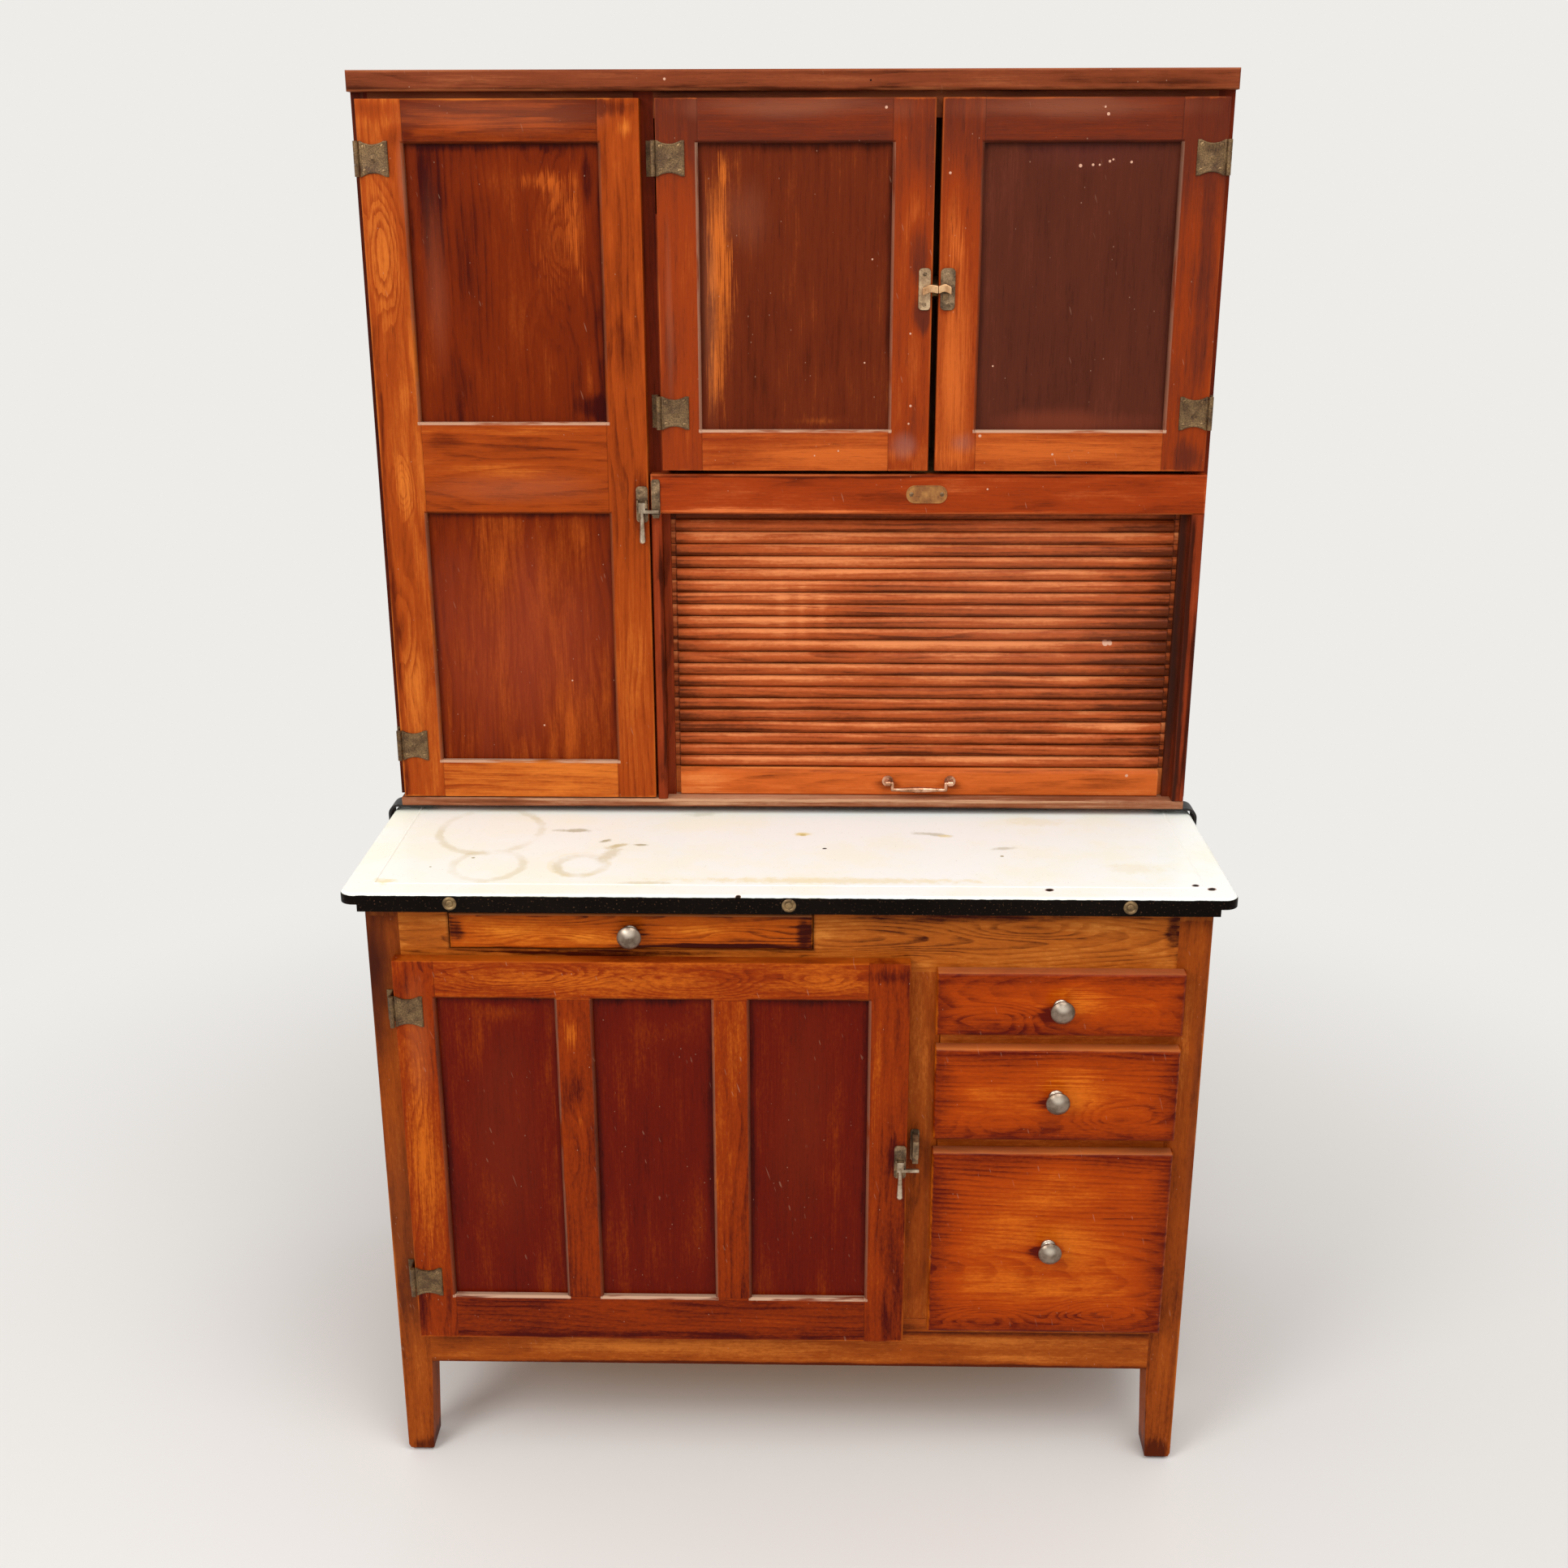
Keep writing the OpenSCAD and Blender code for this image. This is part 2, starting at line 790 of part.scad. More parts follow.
low_door_x0 = -leg_x - 8;
low_door_x1 = stile_x + 11;
low_members = row_members(low_door_x0, low_door_x1, low_door_z, low_door_top, 3, mullion_w,
    low_door_rail, door_stile);
low_panels = row_panels(low_door_x0, low_door_x1, low_door_z, low_door_top, 3, mullion_w,
    low_door_rail, door_stile);
mid_members = row_members(mid_x0, mid_x1, upper_z, door_top, 1, 0, door_stile, door_stile);
mid_panels = row_panels(mid_x0, mid_x1, upper_z, door_top, 1, 0, door_stile, door_stile);
right_members = row_members(right_x0, right_x1, upper_z, door_top, 1, 0, door_stile,
    outer_stile);
right_panels = row_panels(right_x0, right_x1, upper_z, door_top, 1, 0, door_stile,
    outer_stile);
tall_split = tall_z + door_stile + tall_low_panel;
tall_members = [
    [tall_x0, tall_x0 + outer_stile, tall_z, door_top],
    [tall_x1 - door_stile, tall_x1, tall_z, door_top],
    [tall_x0 + outer_stile, tall_x1 - door_stile, tall_z, tall_z + door_stile],
    [tall_x0 + outer_stile, tall_x1 - door_stile, tall_split, tall_split + tall_mid_rail],
    [tall_x0 + outer_stile, tall_x1 - door_stile, door_top - door_stile, door_top]];
tall_panels = [
    [tall_x0 + outer_stile, tall_x1 - door_stile, tall_z + door_stile, tall_split],
    [tall_x0 + outer_stile, tall_x1 - door_stile, tall_split + tall_mid_rail, door_top - door_stile]];

module lower_door_frame() {
    color("chocolate")
        door_frame(low_members, low_panels, base_door_y);
}

module lower_door_panels() {
    color("saddlebrown")
        door_panels(low_panels, base_door_y);
}

module tall_door_frame() {
    color("chocolate")
        door_frame(tall_members, tall_panels, hutch_y);
}

module tall_door_panels() {
    color("saddlebrown")
        door_panels(tall_panels, hutch_y);
}

module middle_door_frame() {
    color("chocolate")
        door_frame(mid_members, mid_panels, hutch_y);
}

module middle_door_panel() {
    color("saddlebrown")
        door_panels(mid_panels, hutch_y);
}

module right_door_frame() {
    color("chocolate")
        door_frame(right_members, right_panels, hutch_y);
}

module right_door_panel() {
    color("saddlebrown")
        door_panels(right_panels, hutch_y);
}

// Hinges -----------------------------------------------------------------------------------

leaf_t = 1.5;
web_in = 0.2;

// Door leaf, with the pivot at the origin: a plate with hollowed ends and the middle knuckle
module door_leaf() {
    third = hinge_h / 3;
    scallop = hinge_w * 0.75;
    translate([0, pin_y, 0])
        rotate([90, 0, 0])
            linear_extrude(leaf_t)
                difference() {
                    translate([1, -hinge_h / 2])
                        square([hinge_w, hinge_h]);
                    for (s = [-1, 1])
                        translate([1 + hinge_w / 2, s * (hinge_h / 2 + scallop - 4)])
                            circle(scallop);
                    translate([-1, third / 2])
                        square([knuckle_r + 1.3, hinge_h]);
                    translate([-1, -third / 2 - hinge_h])
                        square([knuckle_r + 1.3, hinge_h]);
                }
    difference() {
        union() {
            translate([0, 0, -third / 2 + run_gap])
                cylinder(h = third - 2 * run_gap, r = knuckle_r);
            slab(0.5, knuckle_r + 1.3, pin_y - leaf_t, pin_y, -third / 2 + run_gap, third / 2 - run_gap);
        }
        translate([0, 0, -third])
            cylinder(h = 2 * third, r = hinge_pin_r + pin_gap);
    }
}

// Frame leaf: two knuckles, a web past the door's edge and a foot on the case, and the pin
module frame_leaf(reach, foot) {
    third = hinge_h / 3;
    web_x = -knuckle_r + web_in;
    difference() {
        union() {
            for (s = [-1, 1])
                translate([0, 0, s * third]) {
                    cylinder(h = third, r = knuckle_r, center = true);
                    translate([web_x, 0, -third / 2])
                        cube([leaf_t, reach - leaf_t / 2, third]);
                }
            slab(web_x - foot, web_x + leaf_t, reach - leaf_t, reach, -hinge_h / 2, hinge_h / 2);
        }
        cylinder(h = hinge_h + 2, r = hinge_pin_r + pin_gap, center = true);
    }
    cylinder(h = hinge_h, r = hinge_pin_r, center = true);
}

// Heights of the two hinges of a door
function hinge_heights(z0, z1, up = hinge_up) = [z0 + up, z1 - hinge_down];

leaf_reach = pin_y + door_t + door_gap;
foot_w = 7;
outer_pin = 1.5;
outer_foot_w = 4;
outer_pin_x = right_x1 + outer_pin;
mid_pin_x = mid_x0 - inner_pin;
low_pin_x = low_door_x0 - inner_pin;
hutch_pin_y = hutch_y - pin_y;
low_pin_y = base_door_y - pin_y;

module hinge_row(x, y, heights) {
    for (z = heights)
        translate([x, y, z])
            children();
}

module frame_hinge_leaves() {
    color("darkkhaki") {
        hinge_row(-outer_pin_x, hutch_pin_y, hinge_heights(tall_z, door_top))
            frame_leaf(leaf_reach, outer_foot_w);
        hinge_row(outer_pin_x, hutch_pin_y, hinge_heights(upper_z, door_top))
            mirror([1, 0, 0])
                frame_leaf(leaf_reach, outer_foot_w);
        hinge_row(mid_pin_x, hutch_pin_y, hinge_heights(upper_z, door_top))
            frame_leaf(leaf_reach, foot_w);
        hinge_row(low_pin_x, low_pin_y, hinge_heights(low_door_z, low_door_top, low_hinge_up))
            frame_leaf(leaf_reach, foot_w);
    }
}

module lower_door_hinges() {
    color("darkkhaki")
        hinge_row(low_pin_x, low_pin_y, hinge_heights(low_door_z, low_door_top, low_hinge_up))
            door_leaf();
}

module tall_door_hinges() {
    color("darkkhaki")
        hinge_row(-outer_pin_x, hutch_pin_y, hinge_heights(tall_z, door_top))
            door_leaf();
}

// Catch of the pair of upper doors: a plate and a short tongue on the middle door
module middle_door_hinges() {
    color("darkkhaki") {
        hinge_row(mid_pin_x, hutch_pin_y, hinge_heights(upper_z, door_top))
            door_leaf();
        translate([mid_x1 - case_w - 2, hutch_y, pair_latch_z]) {
            catch_plate(case_w, catch_h);
            slab(6, case_w + 9, -5, -leaf_t, -3, 3);
        }
    }
}

module right_door_hinges() {
    color("darkkhaki") {
        hinge_row(outer_pin_x, hutch_pin_y, hinge_heights(upper_z, door_top))
            mirror([1, 0, 0])
                door_leaf();
        translate([right_x0 + 2, hutch_y, pair_latch_z]) {
            catch_plate(18, catch_h);
            slab(-2.4, 10, -5, -leaf_t, -3, 3);
            slab(3, 9, -5, -leaf_t, -12, -5);
        }
    }
}

// Catches ----------------------------------------------------------------------------------

// A plate with rounded ends on a face at y = 0
module catch_plate(w, h) {
    r = w * 0.3;
    rotate([90, 0, 0])
        linear_extrude(leaf_t) {
            translate([0, -h / 2 + r])
                square([w, h - 2 * r]);
            translate([r, -h / 2])
                square([w - 2 * r, h]);
            for (x = [r, w - r])
                for (z = [-h / 2 + r, h / 2 - r])
                    translate([x, z])
                        circle(r);
        }
}

pivot_out = 6;
pivot_r = 1.6;
cheek_t = 2;

// Plate with two cheeks that hold the lever's pivot, at the plate's middle
module latch_case() {
    difference() {
        union() {
            catch_plate(case_w, 46);
            for (x = [1, case_w - 1 - cheek_t])
                slab(x, x + cheek_t, -pivot_out - 3.2, -leaf_t, -4, 6);
        }
        translate([-1, -pivot_out, 0])
            rotate([0, 90, 0])
                cylinder(h = case_w + 2, r = pivot_r + pin_gap);
    }
}

// Lever: a pivot, a tongue reaching past the door's edge and a drop-shaped grip
module latch_lever(tongue) {
    drop = 46;
    tip_r = 4.2;
    translate([1, -pivot_out, 0])
        rotate([0, 90, 0])
            cylinder(h = case_w - 2, r = pivot_r);
    hub_x = 1 + cheek_t + run_gap;
    low = -10.5;
    slab(hub_x, case_w - hub_x, -pivot_out - 2.5, -pivot_out + 2.5, low, 3);
    slab(hub_x, case_w + tongue, -pivot_out - 2.5, -pivot_out + 0.5, low, low + 4);
    translate([case_w / 2, -pivot_out - 1, -drop]) {
        sphere(tip_r);
        cylinder(h = drop - 6, r1 = tip_r * 0.98, r2 = 2);
    }
}

latch_gap = 1;
tall_case_x = tall_x1 - case_w - latch_gap;
low_case_x = low_door_x1 - case_w - latch_gap;

module tall_door_latch() {
    color("gray")
        translate([tall_case_x, hutch_y, lever_z])
            latch_case();
}

module tall_door_lever() {
    color("gray")
        translate([tall_case_x, hutch_y, lever_z])
            latch_lever(14);
}

module lower_door_latch() {
    color("gray")
        translate([low_case_x, base_door_y, low_lever_z])
            latch_case();
}

module lower_door_lever() {
    color("gray")
        translate([low_case_x, base_door_y, low_lever_z])
            latch_lever(16);
}

// Keepers beside the doors, with a nose under the tongue
module latch_keepers() {
    keeper_w = 11;
    color("gray") {
        translate([post_x0 + 0.5, hutch_y, lever_z + 8]) {
            catch_plate(keeper_w, keeper_h);
            slab(2, keeper_w - 1, -8, -leaf_t, -24.5, -19.5);
        }
        translate([low_door_x1 + 5, leg_y, low_lever_z + 14]) {
            catch_plate(keeper_w, keeper_h - 4);
            slab(2, keeper_w - 2, -door_t - 2, -leaf_t, -16, 18);
            slab(2, keeper_w - 2, -door_t - door_gap - 7, -door_t - 2, 2, 18);
        }
    }
}

// Hutch -----------------------------------------------------------------------------------

module hutch_side(side) {
    color("saddlebrown")
        scale_x(side)
            slab(inner_x, hutch_x, case_y, y_back, case_z, case_top);
}

module hutch_side_left() {
    hutch_side(-1);
}

module hutch_side_right() {
    hutch_side(1);
}

// Top board with eased edges, and the head strip behind the doors' top edges
module hutch_top() {
    x = hutch_x + cornice_out;
    color("saddlebrown") {
        rounded_front(-x, x, hutch_y, y_back, case_top, hutch_top_z, 3);
        slab(-inner_x, wall_x0, case_y, case_y + 18, case_top - head_h, case_top - glue_gap);
        slab(wall_x1, inner_x, case_y, case_y + 18, case_top - head_h, case_top - glue_gap);
    }
}

module hutch_bottom() {
    color("saddlebrown")
        plank_x(-face_x, face_x, hutch_y, y_back, hutch_z, case_z);
}

module hutch_partition() {
    color("saddlebrown")
        slab(wall_x0, wall_x1, case_y, back_y, case_z, case_top);
}

module hutch_rail() {
    color("brown")
        plank_x(post_x0, face_x, hutch_y, case_y, rail_z, rail_z + rail_h);
}

shelf_in = 24;
upper_floor_z = rail_z + rail_h - 22;
upper_bay = (case_top - upper_floor_z) / 2;
tall_bay = (case_top - case_z) / 4;

module hutch_shelves() {
    color("burlywood") {
        slab(wall_x1, inner_x, shelf_y, back_y, upper_floor_z, upper_floor_z + board_t);
        slab(wall_x1, inner_x, shelf_y, back_y, upper_floor_z + upper_bay,
            upper_floor_z + upper_bay + board_t);
        for (i = [1 : 3])
            slab(-inner_x, wall_x0, case_y + shelf_in, back_y, case_z + i * tall_bay,
                case_z + i * tall_bay + board_t);
    }
}

module hutch_back() {
    color("burlywood")
        board_wall(-inner_x, inner_x, back_y, y_back, case_z, case_top, 8);
}

// Straps that carry the hutch round the edges of the sliding worktop
strap_r = 14;

module strap_section() {
    x_out = sheet_x + 4 + strap_t;
    z_top = hutch_z;
    z_low = worktop_z - worktop_t - 12;
    arc_x = x_out - strap_r;
    x_in = inner_x - 24;
    translate([x_in, z_top - strap_t])
        square([arc_x - x_in, strap_t]);
    intersection() {
        difference() {
            translate([arc_x, z_top - strap_r])
                circle(strap_r);
            translate([arc_x, z_top - strap_r])
                circle(strap_r - strap_t);
        }
        translate([arc_x, z_top - strap_r])
            square(strap_r);
    }
    translate([x_out - strap_t, z_low])
        square([strap_t, z_top - strap_r - z_low]);
    translate([base_w / 2, z_low])
        square([x_out - base_w / 2, strap_t]);
    translate([base_w / 2, z_low - strap_foot])
        square([strap_t, strap_foot]);
}

module hutch_brackets() {
    color("black")
        for (side = [-1, 1])
            scale_x(side)
                for (y = [hutch_y + 4, y_back - strap_w - 4])
                    translate([0, y + strap_w, 0])
                        rotate([90, 0, 0])
                            linear_extrude(strap_w)
                                strap_section();
}

// Curtain -----------------------------------------------------------------------------------

// Stiles beside the curtain, the beads in front of its ends and the strips behind them
module curtain_guides() {
    color("sienna") {
        plank(post_x0, wall_x1, hutch_y, case_y, case_z, rail_z - glue_gap);
        plank(inner_x, face_x, hutch_y, case_y, case_z, rail_z - glue_gap);
        for (x = [wall_x1, inner_x - guide_w]) {
            slab(x, x + guide_w, case_y + glue_gap, groove_y, case_z, guide_top);
            slab(x, x + guide_w, groove_back, groove_back + bead_t, case_z, guide_top);
        }
    }
}

// One slat: a half-round front on a flat strip whose ends run in the grooves
module slat(z) {
    h = slat_pitch - slat_gap;
    r = (h * h / 4 + slat_bulge * slat_bulge) / (2 * slat_bulge);
    y = groove_y + run_gap;
    translate([0, 0, z + h / 2])
        intersection() {
            translate([slat_x0, y - slat_bulge + r, 0])
                rotate([0, 90, 0])
                    cylinder(h = slat_x1 - slat_x0, r = r);
            slab(slat_x0, slat_x1, y - slat_bulge - 1, y + 0.1, -h / 2, h / 2);
        }
    slab(slat_x0 - tongue_l, slat_x1 + tongue_l, y, y + tongue_t, z, z + h);
}

module curtain_slats() {
    color("chocolate")
        for (i = [0 : slat_n - 1])
            slat(slat_z + i * slat_pitch);
}

module curtain_canvas() {
    color("tan")
        slab(slat_x0 + 4, slat_x1 - 4, canvas_y, canvas_y + canvas_t, slat_z,
            slat_z + slat_n * slat_pitch - slat_gap);
}

module curtain_bar() {
    y = groove_y + run_gap;
    h = curtain_bar_h - slat_gap;
    color("chocolate") {
        translate([slat_x0, 0, 0])
            rotate([90, 0, 90])
                linear_extrude(slat_x1 - slat_x0)
                    polygon([
                        [bar_y, curtain_z + 2], [bar_y + 2, curtain_z], [y + tongue_t, curtain_z],
                        [y + tongue_t, curtain_z + h], [bar_y + 6, curtain_z + h],
                        [bar_y, curtain_z + h - 6]]);
        slab(slat_x0 - tongue_l, slat_x1 + tongue_l, y, y + tongue_t, curtain_z, curtain_z + h);
    }
}

// Drop handle on the bottom bar: two rosettes with eyes and a bail that swings in them
bail_out = 12;
bail_drop = 9;
bail_z = curtain_z + 21;
bail_x = (slat_x0 + slat_x1) / 2;
eye_w = 6;

module handle_rosettes() {
    color("gray")
        for (s = [-1, 1])
            translate([bail_x + s * bail_w / 2, bar_y, bail_z])
                difference() {
                    union() {
                        rotate([90, 0, 0])
                            cylinder(h = 2, r = 7.5);
                        rotate([90, 0, 0])
                            cylinder(h = 4, r1 = 6, r2 = 3.4);
                        rotate([90, 0, 0])
                            cylinder(h = bail_out, r = 2.9);
                        translate([-eye_w / 2, -bail_out, 0])
                            rotate([0, 90, 0])
                                cylinder(h = eye_w, r = 3.8);
                    }
                    translate([-eye_w, -bail_out, 0])
                        rotate([0, 90, 0])
                            cylinder(h = 2 * eye_w, r = 1.9 + pin_gap);
                }
}

module handle_bail() {
    arm_x = bail_w / 2 - eye_w / 2 - 3;
    rod_r = 2.4;
    grip_r = 4.3;
    grip_x = arm_x * 0.72;
    color("gray")
        translate([bail_x, bar_y - bail_out, bail_z]) {
            for (s = [-1, 1]) {
                scale_x(s)
                    translate([arm_x, 0, 0])
                        rotate([0, 90, 0])
                            cylinder(h = eye_w + 3, r = 1.9);
                translate([s * arm_x, 0, 0])
                    sphere(rod_r);
                translate([s * arm_x, 0, -bail_drop])
                    cylinder(h = bail_drop, r = rod_r);
                translate([s * arm_x, 0, -bail_drop])
                    sphere(rod_r);
            }
            translate([-arm_x, 0, -bail_drop])
                rotate([0, 90, 0])
                    cylinder(h = 2 * arm_x, r = rod_r);
            for (s = [-1, 1])
                translate([0, 0, -bail_drop])
                    rotate([0, s * 90, 0])
                        cylinder(h = grip_x, r1 = grip_r, r2 = rod_r * 1.1);
        }
}

leg_pair_front();
leg_pair_rear();
base_top_rail();
base_bottom_rail();
base_face_stile();
base_side_left();
base_side_right();
base_back();
base_floor();
base_partition();
base_shelf();
drawer_runners();
top_runners();
bread_guides();
worktop_sheet();
worktop_board();
breadboard();
breadboard_knob();
drawer_1_front();
drawer_1_box();
drawer_1_knob();
drawer_2_front();
drawer_2_box();
drawer_2_knob();
drawer_3_front();
drawer_3_box();
drawer_3_knob();
lower_door_frame();
lower_door_panels();
lower_door_hinges();
lower_door_latch();
lower_door_lever();
hutch_side_left();
hutch_side_right();
hutch_top();
hutch_bottom();
hutch_partition();
hutch_rail();
hutch_shelves();
hutch_back();
hutch_brackets();
curtain_guides();
frame_hinge_leaves();
latch_keepers();
tall_door_frame();
tall_door_panels();
tall_door_hinges();
tall_door_latch();
tall_door_lever();
middle_door_frame();
middle_door_panel();
middle_door_hinges();
right_door_frame();
right_door_panel();
right_door_hinges();
curtain_slats();
curtain_canvas();
curtain_bar();
handle_rosettes();
handle_bail();
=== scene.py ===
# %% [markdown]
# A two-part kitchen cabinet
#
# The cabinet is a varnished hardwood piece that has seen a century of kitchens: a base
# cupboard on legs, an enamelled worktop that slides forward, and a hutch with panelled
# doors and a slatted curtain. Its boards arrive as a fixed frame, already at their real
# size and place, so what is left for Blender is what the eye reads first: the wood, the
# enamel, the worn metal, and the small pieces that no joiner would leave out.

# %% Load the boards and metalwork
import bpy
import math
from mathutils import Matrix, Vector


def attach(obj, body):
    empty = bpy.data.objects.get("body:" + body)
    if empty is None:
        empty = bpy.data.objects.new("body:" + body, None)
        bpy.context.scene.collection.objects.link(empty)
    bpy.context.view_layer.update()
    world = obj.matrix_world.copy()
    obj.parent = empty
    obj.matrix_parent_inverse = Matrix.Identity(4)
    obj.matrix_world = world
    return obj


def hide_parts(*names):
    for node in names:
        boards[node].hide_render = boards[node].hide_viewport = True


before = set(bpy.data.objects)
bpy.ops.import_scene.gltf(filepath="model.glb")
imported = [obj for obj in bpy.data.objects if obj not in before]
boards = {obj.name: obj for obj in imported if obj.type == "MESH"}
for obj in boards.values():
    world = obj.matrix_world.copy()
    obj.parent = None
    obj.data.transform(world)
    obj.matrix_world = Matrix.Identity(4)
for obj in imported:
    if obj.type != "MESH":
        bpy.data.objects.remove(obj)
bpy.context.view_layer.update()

# %% [markdown]
# Colours are noted from daylight, the way a painter would name them: three numbers from
# 0 to 255. Blender's shaders work in linear light, so one helper turns the first kind
# into the second. Millimetres are the maker's unit; another helper turns them to metres.

# %% Helpers for colour and length
def hue(red, green, blue):
    """A colour written as on a screen, turned to the linear light that shaders use."""
    def linear(value):
        value /= 255
        return value / 12.92 if value <= 0.04045 else ((value + 0.055) / 1.055) ** 2.4
    return (linear(red), linear(green), linear(blue), 1)


def mm(*lengths):
    """Millimetres to metres."""
    return tuple(length / 1000 for length in lengths)


print("varnish orange is", [round(v, 3) for v in hue(185, 75, 20)])

# %% [markdown]
# A finish is a small network of shader nodes. Writing it as arithmetic keeps it legible:
# a Flow is one number that varies over the surface, and adding, multiplying or comparing
# Flows lays down the Math nodes. A Finish holds one material and makes every other node
# through a single method.

# %% Numbers that flow through a shader
class Flow:
    """A value that varies over a surface."""

    def __init__(self, finish, socket):
        self.finish, self.socket = finish, socket

    def sum_of(self, operation, *others, clamp=False):
        values = (self,) + others
        made = self.finish.add("Math", {"operation": operation, "use_clamp": clamp},
                               dict(enumerate(values)))
        return Flow(self.finish, made.outputs[0])

    def turned(self, operation, other):
        made = self.finish.add("Math", {"operation": operation}, {0: other, 1: self})
        return Flow(self.finish, made.outputs[0])

    def __add__(self, other): return self.sum_of("ADD", other)
    def __sub__(self, other): return self.sum_of("SUBTRACT", other)
    def __mul__(self, other): return self.sum_of("MULTIPLY", other)
    def __truediv__(self, other): return self.sum_of("DIVIDE", other)
    def __radd__(self, other): return self.turned("ADD", other)
    def __rsub__(self, other): return self.turned("SUBTRACT", other)
    def __rmul__(self, other): return self.turned("MULTIPLY", other)
    def __neg__(self): return self.sum_of("MULTIPLY", -1.0)
    def __abs__(self): return self.sum_of("ABSOLUTE")
    def low(self, other): return self.sum_of("MINIMUM", other)
    def high(self, other): return self.sum_of("MAXIMUM", other)
    def floor(self): return self.sum_of("FLOOR")
    def part(self): return self.sum_of("FRACT")
    def wave(self): return self.sum_of("SINE")
    def root(self): return self.sum_of("SQRT")
    def over(self, limit): return self.sum_of("GREATER_THAN", limit)
    def held(self): return self.sum_of("ADD", 0.0, clamp=True)

    def ease(self, start, end):
        """0 before start, 1 after end, eased between; start may be above end."""
        made = self.finish.add("MapRange", {"interpolation_type": "SMOOTHSTEP"},
                               {"Value": self, "From Min": start, "From Max": end})
        return Flow(self.finish, made.outputs[0])


print("Flow reads as arithmetic")

# %% [markdown]
# The Finish below starts with the three coordinates of the object itself, so a pattern
# stays on its board when a door swings. Two of its methods say where things are, in
# millimetres as seen from the front: `patch` is an ellipse and `inside` a rectangle.

# %% One material and its nodes
class Finish:
    """A material under construction; every node comes from add()."""

    def __init__(self, name):
        self.material = bpy.data.materials.new(name)
        self.material.use_nodes = True
        self.tree = self.material.node_tree
        self.tree.nodes.clear()
        self.shader = self.add("BsdfPrincipled")
        output = self.add("OutputMaterial")
        self.tree.links.new(self.shader.outputs[0], output.inputs[0])
        self.place = self.add("TexCoord").outputs["Object"]
        split = self.add("SeparateXYZ", sockets={0: self.place})
        self.x, self.y, self.z = (Flow(self, split.outputs[i]) for i in range(3))

    def add(self, kind, settings=None, sockets=None):
        node = self.tree.nodes.new("ShaderNode" + kind)
        for key, value in (settings or {}).items():
            setattr(node, key, value)
        self.feed(node, sockets or {})
        return node

    def feed(self, node, sockets):
        """Links a socket where a link is given, and sets its value otherwise."""
        for key, value in sockets.items():
            if isinstance(value, Flow):
                value = value.socket
            if isinstance(value, bpy.types.NodeSocket):
                self.tree.links.new(value, node.inputs[key])
            else:
                node.inputs[key].default_value = value

    def vector(self, x, y, z):
        return self.add("CombineXYZ", sockets={0: x, 1: y, 2: z}).outputs[0]

    def scaled(self, vector, factors):
        made = self.add("VectorMath", {"operation": "MULTIPLY"}, {0: vector, 1: factors})
        return made.outputs[0]

    def noise(self, vector, scale=1.0, detail=3.0, rough=0.55):
        made = self.add("TexNoise", {"noise_dimensions": "3D"},
                        {"Vector": vector, "Scale": scale, "Detail": detail,
                         "Roughness": rough})
        return Flow(self, made.outputs[0])

    def cells(self, vector, scale=1.0):
        made = self.add("TexVoronoi", {"feature": "F1"}, {"Vector": vector, "Scale": scale})
        return Flow(self, made.outputs[0])

    def mix(self, amount, first, second, way="MIX"):
        made = self.add("Mix", {"data_type": "RGBA", "blend_type": way},
                        {0: amount, 6: first, 7: second})
        return made.outputs[2]

    def blend(self, amount, first, second):
        made = self.add("Mix", {"data_type": "VECTOR"}, {0: amount, 4: first, 5: second})
        return made.outputs[1]

    def patch(self, x, z, wide, tall):
        """1 at the middle of an ellipse seen from the front, 0 at its rim; in mm."""
        across, up = (self.x - x / 1000) / (wide / 1000), (self.z - z / 1000) / (tall / 1000)
        return 1 - (across * across + up * up).root()

    def inside(self, x0, x1, z0, z1):
        """Distance in from the nearest side of an upright rectangle given in mm, in metres;
        negative outside."""
        x0, x1, z0, z1 = (edge / 1000 for edge in (x0, x1, z0, z1))
        return (self.x - x0).low(x1 - self.x).low((self.z - z0).low(z1 - self.z))

    def finish(self, colour, rough, relief=None, depth=0.0004, strength=0.5, **constants):
        sockets = {"Base Color": colour, "Roughness": rough}
        if relief is not None:
            bump = self.add("Bump", sockets={"Strength": strength, "Distance": depth,
                                             "Height": relief})
            sockets["Normal"] = bump.outputs[0]
        for key, value in constants.items():
            sockets[key.replace("_", " ")] = value
        self.feed(self.shader, sockets)
        return self.material


print("Finish adds every other node")

# %% [markdown]
# Wood is the whole look of this cabinet. A plain-sawn board shows the tree's rings as
# nested arches, and a knot as closed ovals. Both are level lines of one smooth height
# over the board: a slow slope, some noise, and a hill for each knot. Over the rings go
# short dark pores, then the varnish, which runs from thin and rubbed to thick and dark,
# and last the grime and dust that a cloth does not reach. At some places shade and
# highlights are painted into these same layers.

# %% Colours that all the wood shares
# The dark tone is for pores, grime and painted shade; the pale one is for dust, scratches and the
# painted highlight on sills; the last is for painted highlights on lit edges.
SOOT_AND_SHADE, DUST_AND_HIGHLIGHT, LIT = hue(30, 12, 7), hue(198, 156, 128), hue(208, 128, 78)
SHINE, DARKEST = 0.006, 0.0006


def under_varnish(colour):
    """Varnish adds a little white shine of its own, so the pigment below it is darker."""
    return tuple(max(part - SHINE, DARKEST) for part in colour[:3]) + (1,)


print("soot is drawn as", [round(part, 4) for part in under_varnish(SOOT_AND_SHADE)])
